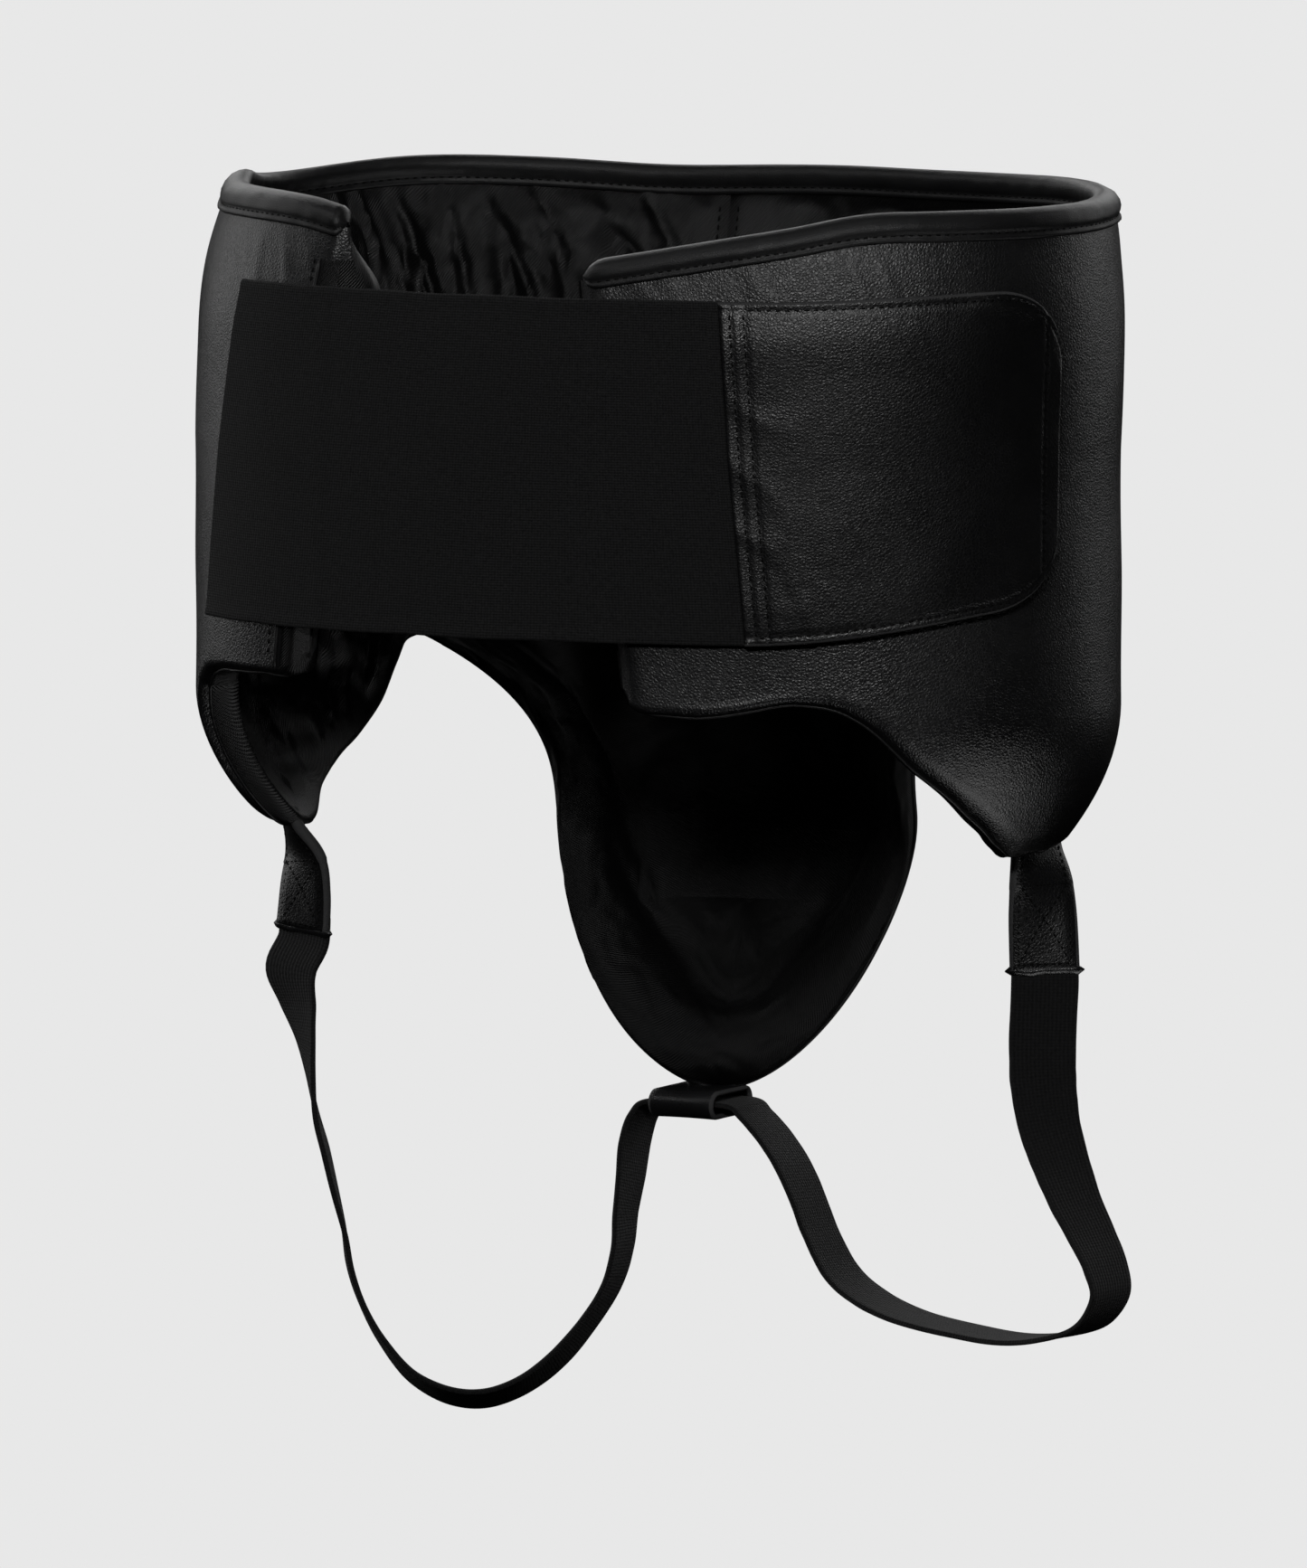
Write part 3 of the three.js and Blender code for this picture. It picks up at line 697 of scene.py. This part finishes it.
def ring(angle):
    a, k = math.radians(angle), RING_SQUARENESS
    x = RING_HALF_WIDTH * (math.cos(a) - k * math.cos(3 * a)) / (1 - k)
    y = RING_HALF_DEPTH * (math.sin(a) + k * math.sin(3 * a)) / (1 - k)
    dx = RING_HALF_WIDTH * (3 * k * math.sin(3 * a) - math.sin(a)) / (1 - k)
    dy = RING_HALF_DEPTH * (math.cos(a) + 3 * k * math.cos(3 * a)) / (1 - k)
    size = math.hypot(dx, dy)
    return x, y, dy / size, -dx / size


def wall(angle, height, depth):
    """A point of the wall, depth millimetres inside its outer face."""
    x, y, nx, ny = ring(angle)
    rim = max(0.0, (height - 40) / 55)
    hip = max(0.0, -95 - height)
    side = "left" if x < 0 else "right"
    inset = 6 + 4.4 * smooth(-100, -170, x)
    inwards = inset * rim * rim + HIP_CURL_RATE[side] * hip ** 1.9 + depth
    return Vector((x - nx * inwards + 0.03 * max(0.0, height), y - ny * inwards, height))


def outward(angle):
    _, _, nx, ny = ring(angle)
    return Vector((nx, ny, 0))


def padding(height):
    """The wall's whole thickness, thinner towards the rim."""
    return 3.4 + lerp(3, 12, 1 - smooth(56, 88, height))


# Each stretch of wall is its bottom line, its top line and its number of columns.
RIGHT_WALL = [
    ([(-85.5, -92), (-75, -92), (-65, -87.5), (-56, -92.5), (-48, -107), (-39, -123), (-29, -136.5),
      (-20, -143.5)],
     [(-91, 69.5), (-77, 78), (-67, 83), (-57, 88), (-45, 89), (-20, 89)], 92),
    ([(-20, -143.5), (-8, -148.5), (5, -149), (16, -146.5), (26, -142), (34, -132), (39, -120),
      (43, -108), (45.5, -94), (48, -85), (51.5, -82)],
     [(-20, 89), (51.5, 89)], 72),
    ([(51.5, -82), (90, -82)], [(51.5, 89), (90, 89)], 46),
]
LEFT_WALL = [
    ([(90, -82), (128.5, -82)], [(90, 89), (128.5, 89)], 46),
    ([(128.5, -82), (131.5, -85.5), (133.4, -95), (136.4, -109), (141.4, -120),
      (149.6, -130.5), (159, -140.5), (166, -146.5), (175, -149), (186, -147), (193, -136),
      (196, -120), (198, -104), (200, -93)],
     [(128.5, 89), (200, 89)], 76),
    ([(200, -93), (205, -87), (212, -84.5), (222, -84), (231, -84)],
     [(200, 89), (220, 89.5), (230, 88.5), (237, 85.5)], 40),
]


# Each rise or dip of the rim is its height, its middle angle and its width.
RIM_RISES = [
    (2.6, 126, 20), (1.9, 32, 30), (3.0, 186, 9), (-1.2, 160, 13), (0.8, 76, 10), (-1.0, 98, 9),
]


def rim_wave(angle):
    """The rim's own slow rise and dip along the front."""
    rise = 0.0
    for height, middle, width in RIM_RISES:
        rise += height * bell(angle, middle, width)
    return rise


def columns(stretches):
    found = []
    for bottom, top, count in stretches:
        for i in range(count):
            found.append((curve(bottom, i / count), curve(top, i / count)))
    found.append((list(stretches[-1][0][-1]), list(stretches[-1][1][-1])))
    return [(low, (angle, height + rim_wave(angle))) for low, (angle, height) in found]


def edge_roll(angle):
    """How far the padding hangs below the leather, behind the right hip."""
    return 7 * smooth(-62, -48, angle) * smooth(-8, -24, angle)


def lining_folds(angle, height):
    """Folds of the loose lining: deep on the front's left half, faint elsewhere."""
    drift = 20 * (1 - math.exp(-(WALL_TOP - height) / 26))
    s = angle * 2.9 + drift + 5 * wander(angle * 0.05, height * 0.02, 1.0)
    loose = smooth(93, 100, angle) * smooth(162, 142, angle)
    ridge = 1 - min(1.0, abs(wander(s / 19, height / 170, 4.0)) * 5.5)
    small = 1 - min(1.0, abs(wander(s / 9, height / 60, 9.0)) * 4.5)
    calm = smooth(90, 72, height) * 0.6 + 0.4
    deep = (6.2 * ridge ** 1.8 + 1.6 * small * small) * loose * calm
    return deep + 0.8 * wander(angle / 9, height / 40, 2.0) * smooth(88, 76, height)


def leather_swell(angle, height):
    """Soft unevenness of the outer leather over its padding."""
    body = smooth(86, 66, height)
    broad = 0.8 * wander(angle / 16, height / 50, 11.0)
    crease = 1 - min(1.0, abs(wander(angle / 5.5 + height / 40, height / 40, 6.0)) * 3)
    loose = smooth(-92, -84, angle) * smooth(-40, -60, angle) + smooth(206, 222, angle)
    return body * broad + loose * 0.45 * crease * smooth(84, 74, height) * smooth(30, 50, height)


def end_close(away, reach=7.0):
    """How far a face has turned in towards the wall's middle, near a free end."""
    q = clamp(1 - away / reach)
    return 1 - math.sqrt(max(0.0, 1 - q * q))


OUTER_ROWS = 64
BARE_END = 5
ROLL_ROWS = 14
SEAM_TURN = 5


def wall_column(low, high, free_end):
    """Points from the rim down the leather, round the bottom edge and up the lining."""
    points = []
    low_angle, low_height = low
    high_angle, high_height = high
    hang = edge_roll(low_angle)
    foot = low_height + 3.0 + 6.0 * end_close(free_end(0.0), 9.0)
    low_depth = padding(low_height)
    for j in range(OUTER_ROWS + 1):
        v = 1 - j / OUTER_ROWS
        angle, height = lerp(low_angle, high_angle, v), lerp(foot, high_height, v)
        thick = padding(height)
        inwards = 0.3 * thick * end_close(free_end(v))
        points.append(wall(angle, height, inwards - leather_swell(angle, height) * (1 - inwards / 9)))
    closing = end_close(free_end(0.0))
    for j in range(1, ROLL_ROWS):
        turn = math.pi * j / ROLL_ROWS
        across = lerp(low_depth / 2 * (1 - math.cos(turn)), low_depth / 2, 0.6 * closing)
        fall = (hang + 4.5) * math.sin(turn) * (1 - 0.3 * closing)
        ripple = 0.6 * wander(low_angle / 5, turn * 1.5, 8.0)
        points.append(wall(low_angle, foot - fall - ripple * math.sin(turn), across))
    for j in range(OUTER_ROWS + 1):
        v = j / OUTER_ROWS
        angle, height = lerp(low_angle, high_angle, v), lerp(foot, high_height, v)
        thick = padding(height)
        inwards = 0.3 * thick * end_close(free_end(v))
        spill = smooth(212, 234, angle) * smooth(-76, -20, height) * smooth(86, 58, height)
        bulge = 6.0 * spill
        seam = 1.4 * bell(angle, 90, 0.8)
        loose = lining_folds(angle, height) * smooth(0.0, 0.08, v) * smooth(1.0, 0.95, v)
        deep = thick - inwards + (loose + bulge - seam) * (1 - inwards / 9)
        points.append(wall(angle + 4.6 * spill, height, deep))
    return points


def close_end(row, inner_row):
    """Rows that round off a wing's end, from its last row to the line where its faces meet."""
    added = []
    partner = row[::-1]
    for i in range(1, 7):
        a = math.pi / 2 * i / 6
        closing = []
        for p, q, near in zip(row, partner, inner_row):
            away = (p - near).normalized()
            half = (p - q).length / 2
            closing.append(p.lerp(q, 0.5 * (1 - math.cos(a))) + away * min(half, 5.0) * math.sin(a))
        added.append(closing)
    return added


def padded_wall(side, stretches):
    found = columns(stretches)
    last = len(found) - 1
    tip = found[0] if side == "right" else found[-1]
    rows = []
    for i, (low, high) in enumerate(found):
        def free_end(v, low=low, high=high):
            there = lerp(tip[0][0], tip[1][0], v)
            return abs(lerp(low[0], high[0], v) - there) * 2.9
        rows.append(wall_column(low, high, free_end))
    if side == "right":
        rows = close_end(rows[0], rows[3])[::-1] + rows
    else:
        rows += close_end(rows[-1], rows[-4])
    lining = (OUTER_ROWS + ROLL_ROWS + 2, 2 * OUTER_ROWS + ROLL_ROWS - 1)
    if side == "left":
        drape(rows, (2, 96), lining, 0.028, 0.5, 3.2)
    else:
        drape(rows, (last - 60, last), lining, 0.02, 0.3, 3.0)

    def mark(i, j):
        bare_end = side == "left" and i > last - BARE_END and j > 4
        return int(j >= OUTER_ROWS + SEAM_TURN or bare_end)

    return woven(f"{side}_padded_wall", rows, [LEATHER, SATIN], mark), rows


BLEND_ANGLES = {"left": (184, 207), "right": (1, -24)}


def cross_hip(piece, side):
    """Bakes the piece's placement into its mesh; the wall's points at the two blend angles around the hip
    are worked out but not used.
    """
    start, end = [wall(angle, 0, 6) * MM for angle in BLEND_ANGLES[side]]
    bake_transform(piece)
    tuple(start)
    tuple(end)


def along_wall(rows, point, start=0, stop=None):
    """The line that one point of each column makes."""
    return [row[point].copy() for row in rows[start:stop]]


RIM_SECTION = [
    (-0.6, -4.0), (-1.6, -3.4), (-1.6, -2.4), (-0.75, -1.4), (-1.7, -0.5), (-2.2, 1.2), (-2.1, 3.4),
    (-0.9, 5.5), (1.0, 6.7), (3.1, 7.1), (5.2, 6.7), (7.2, 5.4), (8.1, 3.4), (8.0, 1.2), (7.6, -0.5),
    (6.9, -1.4), (7.8, -2.4), (7.9, -3.4), (7.1, -4.2), (5.4, -3.8), (3.1, -3.6), (0.8, -3.8),
]


def rim_binding(side, stretches):
    """The rolled strip over the rim and its two rows of stitches."""
    tops = [high for _, high in columns(stretches)]
    tight = [1.0] * len(tops)
    ends = (0, 1, 2) if side == "right" else (-1, -2, -3)
    for i, share in zip(ends, (0.12, 0.7, 0.93)):
        tight[i] = share
    rows = []
    for i, (angle, height) in enumerate(tops):
        row = []
        for depth, rise in RIM_SECTION:
            swell = 0.35 * wander(angle / 2.4, depth * 0.4, rise * 0.2 + 20)
            lift = 0.5 * wander(angle / 22, 0.0, 33.0)
            across = lerp(3.1, depth + (swell if depth > 3 else -swell), tight[i])
            up = lerp(1.0, rise, tight[i]) + lift
            row.append(wall(angle, height + up, across))
        rows.append(row)
    roll = woven(f"{side}_rim_binding", rows, [BINDING_LEATHER], ring=True)
    outside = [(row[3], outward(a)) for row, (a, _) in zip(rows, tops)]
    inside = [(row[15], -outward(a)) for row, (a, _) in zip(rows, tops)]
    sewn = stitches(f"{side}_rim_stitches", [outside, inside], 3.4, 2.2, 0.45, 0.0)
    return roll, sewn


def dress_side(side, stretches, nodes, binding_nodes):
    pad, rows = padded_wall(side, stretches)
    roll, sewn = rim_binding(side, stretches)
    ends = (9, None) if side == "right" else (0, -9)
    bead_at = OUTER_ROWS + SEAM_TURN
    bead = cord_line(f"{side}_edge_piping", along_wall(rows, bead_at, *ends), 0.75, BINDING_LEATHER)
    for piece in (pad, roll, sewn, bead):
        cross_hip(piece, side)
    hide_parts(*nodes)
    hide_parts(*binding_nodes)
    return rows


dress_side(
    "right", RIGHT_WALL,
    ["right_wing_shell", "right_wing_foam", "right_wing_lining", "right_hip_shell",
     "right_hip_foam", "right_hip_lining", "front_lining_right", "front_foam"],
    ["right_wing_binding"],
)
left_rows = dress_side(
    "left", LEFT_WALL,
    ["left_wing_shell", "left_wing_foam", "left_wing_lining", "left_hip_shell", "left_hip_foam",
     "left_hip_lining", "front_lining_left", "front_shell"],
    ["left_wing_binding", "front_binding"],
)

# The left wing's leather stops short of its end, where the lining shows under a sewn edge.
edge_column = left_rows[-6 - BARE_END - 1]
next_column = left_rows[-6 - BARE_END - 3]
edge_points = [p + outward(233) * 0.4 for p in edge_column[5:OUTER_ROWS + 2]]
wing_edge = cord_line("left_wing_cut_edge", edge_points, 0.9, BINDING_LEATHER)
wing_edge_run = [(p, outward(230)) for p in next_column[5:OUTER_ROWS]]
wing_edge_sewn = stitches("left_wing_end_stitches", [wing_edge_run], 3.4, 2.3, 0.5)
for piece in (wing_edge, wing_edge_sewn):
    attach(piece, "left_wing")

# The front's centre seam, inside and outside.
seam_runs = []
for shift, face in ((1.1, "in"), (-1.1, "in"), (1.1, "out"), (-1.1, "out")):
    run = []
    for i in range(80):
        height = lerp(-66, 82, i / 79)
        depth = padding(height) + 0.1 if face == "in" else -0.2
        facing = -outward(90) if face == "in" else outward(90)
        run.append((wall(90 + shift, height, depth), facing))
    seam_runs.append(run)
centre_seam = stitches("front_seam_stitches", seam_runs, 3.6, 2.4, 0.42)
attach(centre_seam, "front")


# ---- Cup ----

CUP_TIP = -254
CUP_SHOULDER = -150
CUP_TOP = -82
CUP_SPINE_END = -186
CUP_OVERLAP_TOP = -77
CUP_WIDEST = 70.3
CUP_ROUND = 1.76
MIDDLE_STEPS = 16


def cup_half_width(height):
    if height < CUP_SHOULDER:
        drop = clamp((CUP_SHOULDER - height) / (CUP_SHOULDER - CUP_TIP))
        return CUP_WIDEST * (1 - drop ** CUP_ROUND) ** (1 / CUP_ROUND)
    rise = clamp((height - CUP_SHOULDER) / (CUP_TOP - CUP_SHOULDER))
    return lerp(CUP_WIDEST, 115, rise ** 2.7)


def cup(x, height, depth):
    """A point of the cup, depth millimetres behind its domed outer face."""
    half = max(cup_half_width(height), 1.0)
    swell = smooth(CUP_TOP, -165, height)
    tuck = smooth(CUP_SHOULDER, CUP_TIP, height)
    top = 101 * math.sqrt(1 - (x / 178) ** 2) + 2
    edge = lerp(110, 84, tuck)
    crown = 27 * (1 - tuck * 0.75) * (1 - min(1.0, abs(x / half)) ** 2.4)
    y = lerp(top, edge + crown, swell) - depth
    return Vector((x + 3.0 * swell, y, height))


def cup_stations(top):
    """The cup's outline as (x, height), from the right arch round the tip to the left arch."""
    side = []
    for i in range(34):
        height = lerp(top, CUP_SHOULDER, i / 34)
        side.append((cup_half_width(height), height))
    for i in range(46):
        a = math.pi / 2 * i / 46
        share = math.sin(a) ** (2 / CUP_ROUND)
        side.append((CUP_WIDEST * math.cos(a) ** (2 / CUP_ROUND), lerp(CUP_SHOULDER, CUP_TIP, share)))
    tip = [(0.0, float(CUP_TIP))]
    return side + tip + [(-x, h) for x, h in reversed(side)]


# Distance in from the edge, and depth behind the outer face.
COVER_SECTION = [(0.0, 10.5), (0.1, 7.0), (0.8, 4.0), (2.4, 1.5), (5.0, 0.35), (9.0, 0.0), (16.0, 0.0)]
INSIDE_SECTION = [
    (0.0, 10.5), (0.25, 13.5), (1.4, 17.0), (3.6, 20.2), (6.8, 22.4), (10.0, 23.0), (13.2, 22.5),
    (16.3, 20.8), (18.8, 18.0), (20.5, 14.9), (22.0, 12.6), (24.5, 11.6), (28.0, 11.3),
]


def cup_surface(name, section, middle_depth, made, uneven, tip_width=1.0, loose=False):
    rows = []
    for x, height in cup_stations(CUP_OVERLAP_TOP):
        spine = max(height, CUP_SPINE_END)
        reach = math.hypot(x, height - spine)
        if reach < 1:
            continue
        stops = []
        steps = 3 * (len(section) - 1)
        widen = lerp(1.0, tip_width, smooth(-172, -240, height))
        for i in range(steps + 1):
            away, depth = curve(section, i / steps)
            stops.append((away * widen, depth))
        away, depth = stops[-1]
        for i in range(1, MIDDLE_STEPS + 1):
            t = i / MIDDLE_STEPS
            stops.append((lerp(away, reach, t), lerp(depth, middle_depth, smooth(0, 0.4, t))))
        row = []
        for away, depth in stops:
            t = clamp(away / reach)
            px, ph = lerp(x, 0, t), lerp(height, spine, t)
            row.append(cup(px, ph, depth + uneven(px, ph, away)))
        rows.append(row)
    if loose:
        drape(rows, (0, len(rows)), (5, 46), 0.016, 1.0, 1.6)
    return woven(name, rows, [made]), rows


def cover_uneven(x, height, away):
    seam = 1.1 * bell(x, 0, 1.6) * smooth(-90, -110, height)
    return seam - 0.5 * wander(x / 30, height / 34, 15.0)


def inside_uneven(x, height, away):
    """Creases across the padded roll, and a loose lining in the hollow."""
    roll = smooth(2, 8, away) * smooth(24, 16, away)
    pinch = abs(wander(x / 13, height / 13, 3.0))
    hollow = smooth(22, 34, away)
    return roll * (1.3 * wander(x / 26, height / 26, 5.0) - 1.2 * max(0.0, 0.12 - pinch) * 6) \
        + hollow * 1.2 * wander(x / 22, height / 40, 8.0)


cover, cover_rows = cup_surface("cup_cover", COVER_SECTION, 0.0, LEATHER, cover_uneven)
inside, _ = cup_surface(
    "cup_padded_inside", INSIDE_SECTION, 11.2, CUP_SATIN_PAINTED_SHADE, inside_uneven, tip_width=1.35,
    loose=True,
)
cup_bead = cord_line("cup_edge_piping", [row[0].copy() for row in cover_rows[4:-4]], 0.8, BINDING_LEATHER)
cup_edge_run = [(row[9], Vector((0, 1, 0))) for row in cover_rows[4:-4]]
middle_run = []
for shift in (-2.6, 2.6):
    middle_run.append([(cup(shift, lerp(-96, -240, i / 90), -0.1), Vector((0, 1, 0))) for i in range(91)])
cup_sewn = stitches("cup_cover_stitches", [cup_edge_run, *middle_run], 3.6, 2.4, 0.42)


def cup_top_edge(u, v, w):
    """The turned strip that joins the cup to the ring's front."""
    x = lerp(116, -116, u)
    height = lerp(-84, -74, v)
    y = 101 * math.sqrt(1 - (x / 178) ** 2) + 1.0
    return Vector((x, y + w * 1.8 - 0.5 * abs(2 * v - 1) ** 3, height))


top_strip = slab("cup_top_strip", cup_top_edge, 110, 8, [BINDING_LEATHER], 0.06, 0.006)
strip_runs = []
for v in (0.2, 0.8):
    run = [(cup_top_edge(lerp(0.02, 0.98, i / 120), v, 1.0), Vector((0, 1, 0))) for i in range(121)]
    strip_runs.append(run)
strip_sewn = stitches("cup_top_stitches", strip_runs, 3.6, 2.4, 0.42)
for piece in (cover, inside, cup_bead, cup_sewn, top_strip, strip_sewn):
    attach(piece, "front")
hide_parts("cup_shell", "cup_insert")
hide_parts("cup_lining", "cup_rim_pad")


# ---- Closure ----

BAND_TOP = 63.5
BAND_BOTTOM = -65.5
TAB_HINGE = (-70.5, -74.3)
TAB_END = -24.5
WING_END = -123.5


def closure(angle, height, out):
    return wall(angle, height, -out)


def band_lift(angle):
    return lerp(1.0, 3.1, smooth(-129, -95, angle))


def band_place(u, v, w):
    """The wide elastic, from its slanted sewn end to the tab's seam."""
    angle = lerp(lerp(-152, -142, v), lerp(TAB_HINGE[0], TAB_HINGE[1], v), u)
    height = lerp(BAND_BOTTOM, BAND_TOP, v)
    height += 0.5 * wander(u * 9, 0.0, 40.0) * (2 * v - 1)
    wave = 0.35 * wander(u * 5, v * 2.2, 44.0) * smooth(0.0, 0.15, u) * smooth(1.0, 0.9, u)
    step = 0.5 * smooth(WING_END - 1.2, WING_END + 1.2, angle)
    thick = 1.6 * (1 + 0.25 * smooth(0.46, 0.49, abs(v - 0.5)))
    return closure(angle, height, band_lift(angle) - step * 0.6 + wave + w * thick)


band = slab("wide_elastic", band_place, 190, 70, [WIDE_ELASTIC], 0.006, 0.002)
start, end = [closure(angle, 0, 2) * MM for angle in (-133, -125)]
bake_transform(band)
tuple(start)
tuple(end)
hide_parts("closure_elastic", "elastic_sewn_end")
band_length = (closure(-147, 0, 0) - closure(-72.5, 0, 0)).length * 1.07 * MM


def tab_corner(angle):
    share = clamp((angle - (TAB_END - 13)) / 13)
    return 26 * (1 - math.sqrt(max(0.0, 1 - share * share)))


def tab_top(angle):
    return lerp(BAND_TOP, 67, smooth(-72, -32, angle)) - tab_corner(angle)


def tab_bottom(angle):
    return lerp(BAND_BOTTOM, -52, smooth(-72, -26, angle)) + tab_corner(angle)


def tab_place(u, v, w):
    """The leather tab: flat where it is sewn, a little puffed between its stitches."""
    angle = lerp(lerp(TAB_HINGE[0], TAB_HINGE[1], v) - 0.5, TAB_END, u)
    low, high = tab_bottom(angle), tab_top(angle)
    height = lerp(low, high, v)
    inner = min(height - low, high - height)
    sewn = min(abs(inner - 3.2), abs((angle + 24.5) * 2.6 + 8.5))
    from_seam = (angle - lerp(TAB_HINGE[0], TAB_HINGE[1], v)) * 3.0
    sewn = min(sewn, abs(from_seam - 2.6), abs(from_seam - 7.4))
    dent = 0.5 * bell(sewn, 0, 1.1) if w > 0.5 else 0.0
    puff = 0.45 * smooth(3, 16, inner) * (0.6 + wander(u * 4, v * 4, 50.0))
    lift = 1.5 * smooth(0.9, 1.0, v) * smooth(0.6, 0.78, u) * smooth(0.98, 0.86, u)
    crease = 0.45 * (1 - min(1.0, abs(wander(u * 5 + v, v * 3, 52.0)) * 6)) * smooth(0.3, 0.0, u)
    return closure(angle, height, 5.0 + w * 1.8 + (puff + crease) * w - dent + lift)


tab = slab("closure_tab_leather", tab_place, 130, 96, [TAB_LEATHER_PAINTED_SHADE, RAW_EDGE], 0.008, 0.004)


def tab_run(points):
    """A line of the tab's face through (angle or seam offset, height share) points."""
    run = []
    for u, v in points:
        p = tab_place(u, v, 1.0)
        run.append((p, (p - tab_place(u, v, 0.0)).normalized()))
    return run


def tab_share(angle, height):
    v = clamp((height - tab_bottom(angle)) / (tab_top(angle) - tab_bottom(angle)))
    first = lerp(TAB_HINGE[0], TAB_HINGE[1], v) - 0.5
    return clamp((angle - first) / (TAB_END - first)), v


def tab_stitches():
    runs = []
    for offset in (0.87, 2.5):
        runs.append(tab_run([
            tab_share(lerp(*TAB_HINGE, i / 60) + offset, lerp(BAND_BOTTOM + 3, BAND_TOP - 3, i / 60))
            for i in range(61)
        ]))
    stops = []
    inset = 3.2
    turn = TAB_END - 3.0
    for i in range(81):
        angle = lerp(-71.5, turn - 9, i / 80)
        stops.append((angle, tab_top(angle) - inset))
    top_at, low_at = stops[-1][1], tab_bottom(turn - 9) + inset
    reach = 15
    for i in range(1, 13):
        a = math.pi / 2 * i / 12
        stops.append((turn - 9 + 9 * math.sin(a), top_at - reach * (1 - math.cos(a))))
    for i in range(1, 30):
        stops.append((turn, lerp(top_at - reach, low_at + reach, i / 29)))
    for i in range(1, 13):
        a = math.pi / 2 * i / 12
        stops.append((turn - 9 + 9 * math.cos(a), low_at + reach * (1 - math.sin(a))))
    for i in range(1, 81):
        angle = lerp(turn - 9, -69.0, i / 80)
        stops.append((angle, tab_bottom(angle) + inset))
    runs.append(tab_run([tab_share(angle, height) for angle, height in stops]))
    return stitches("closure_tab_stitches", runs, 3.5, 2.4, 0.42, 0.0)


tab_sewn = tab_stitches()


def backing_place(u, v, w):
    """The elastic's end under the tab."""
    angle = lerp(TAB_HINGE[0], TAB_HINGE[1], v) + lerp(-2.2, 8, u)
    return closure(angle, lerp(BAND_BOTTOM + 0.5, BAND_TOP - 0.5, v), 3.3 + w * 1.2)


backing = slab("elastic_under_tab", backing_place, 24, 40, [WIDE_ELASTIC], 0.01, 0.03)
fold_start, fold_end = [closure(-72.4 + turn, 0, 4) * MM for turn in (-1.1, 1.1)]
for piece in (tab, tab_sewn, backing):
    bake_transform(piece)
    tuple(fold_start)
    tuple(fold_end)
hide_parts("tab_leather")
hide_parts("elastic_tab_end")
for name in ("hook_tape", "loop_tape"):
    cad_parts[name].material_slots[0].material = FUZZ


# ---- Floor, backdrop and lights ----

BACKDROP = 0.807


def glowing(name):
    made = bpy.data.materials.new(name)
    made.use_nodes = True
    shader = made.node_tree.nodes["Principled BSDF"]
    shader.inputs["Base Color"].default_value = (0, 0, 0, 1)
    shader.inputs["Specular IOR Level"].default_value = 0
    shader.inputs["Emission Color"].default_value = (BACKDROP, BACKDROP, BACKDROP, 1)
    shader.inputs["Emission Strength"].default_value = 1
    return made


FLOOR_HEIGHT = -520
ring_points = [Vector((9000 * math.cos(a), 9000 * math.sin(a), FLOOR_HEIGHT))
               for a in (2 * math.pi * i / 64 for i in range(64))]
floor = mesh_piece("floor", ring_points, [tuple(range(64))], [glowing("pale_floor")])
floor.visible_diffuse = False
floor.visible_glossy = False
floor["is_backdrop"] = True

world = bpy.data.worlds.new("studio")
world.use_nodes = True
scene.world = world
world.node_tree.nodes["Background"].inputs["Color"].default_value = (BACKDROP,) * 3 + (1,)
world.cycles_visibility.diffuse = False
world.cycles_visibility.glossy = False


def softbox(name, turn, rise, distance, size, power):
    """An area light at an angle round from the camera's side, facing the object's middle."""
    a = TURN + math.radians(turn)
    e = math.radians(rise)
    way = Vector((math.sin(a) * math.cos(e), -math.cos(a) * math.cos(e), math.sin(e)))
    data = bpy.data.lights.new(name, "AREA")
    data.shape = "RECTANGLE"
    data.size, data.size_y = size
    data.energy = power
    lamp = bpy.data.objects.new(name, data)
    lamp.location = Vector((0, 0, -0.08)) + way * distance
    lamp.rotation_euler = (-way).to_track_quat("-Z", "Y").to_euler()
    lamp.visible_camera = False
    scene.collection.objects.link(lamp)


softbox("key_left", -118, 16, 1.9, (1.1, 1.5), 8)
softbox("left_front", -66, 44, 2.2, (0.5, 0.6), 5)
softbox("right", 118, 18, 2.1, (1.0, 1.4), 7)
softbox("brow", -3, 21, 2.4, (0.55, 0.2), 18)
softbox("top", 0, 70, 2.2, (0.9, 0.7), 3)
softbox("bounce", 52, -54, 1.7, (1.5, 1.2), 15)
softbox("behind_left", -160, 30, 2.2, (1.2, 1.0), 10)
softbox("behind_right", 158, 30, 2.2, (1.2, 1.0), 10)

sizes = {"cad": cad_bounds, "visual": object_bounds()}
plain = {key: [[float(c) for c in corner] for corner in box] for key, box in sizes.items()}
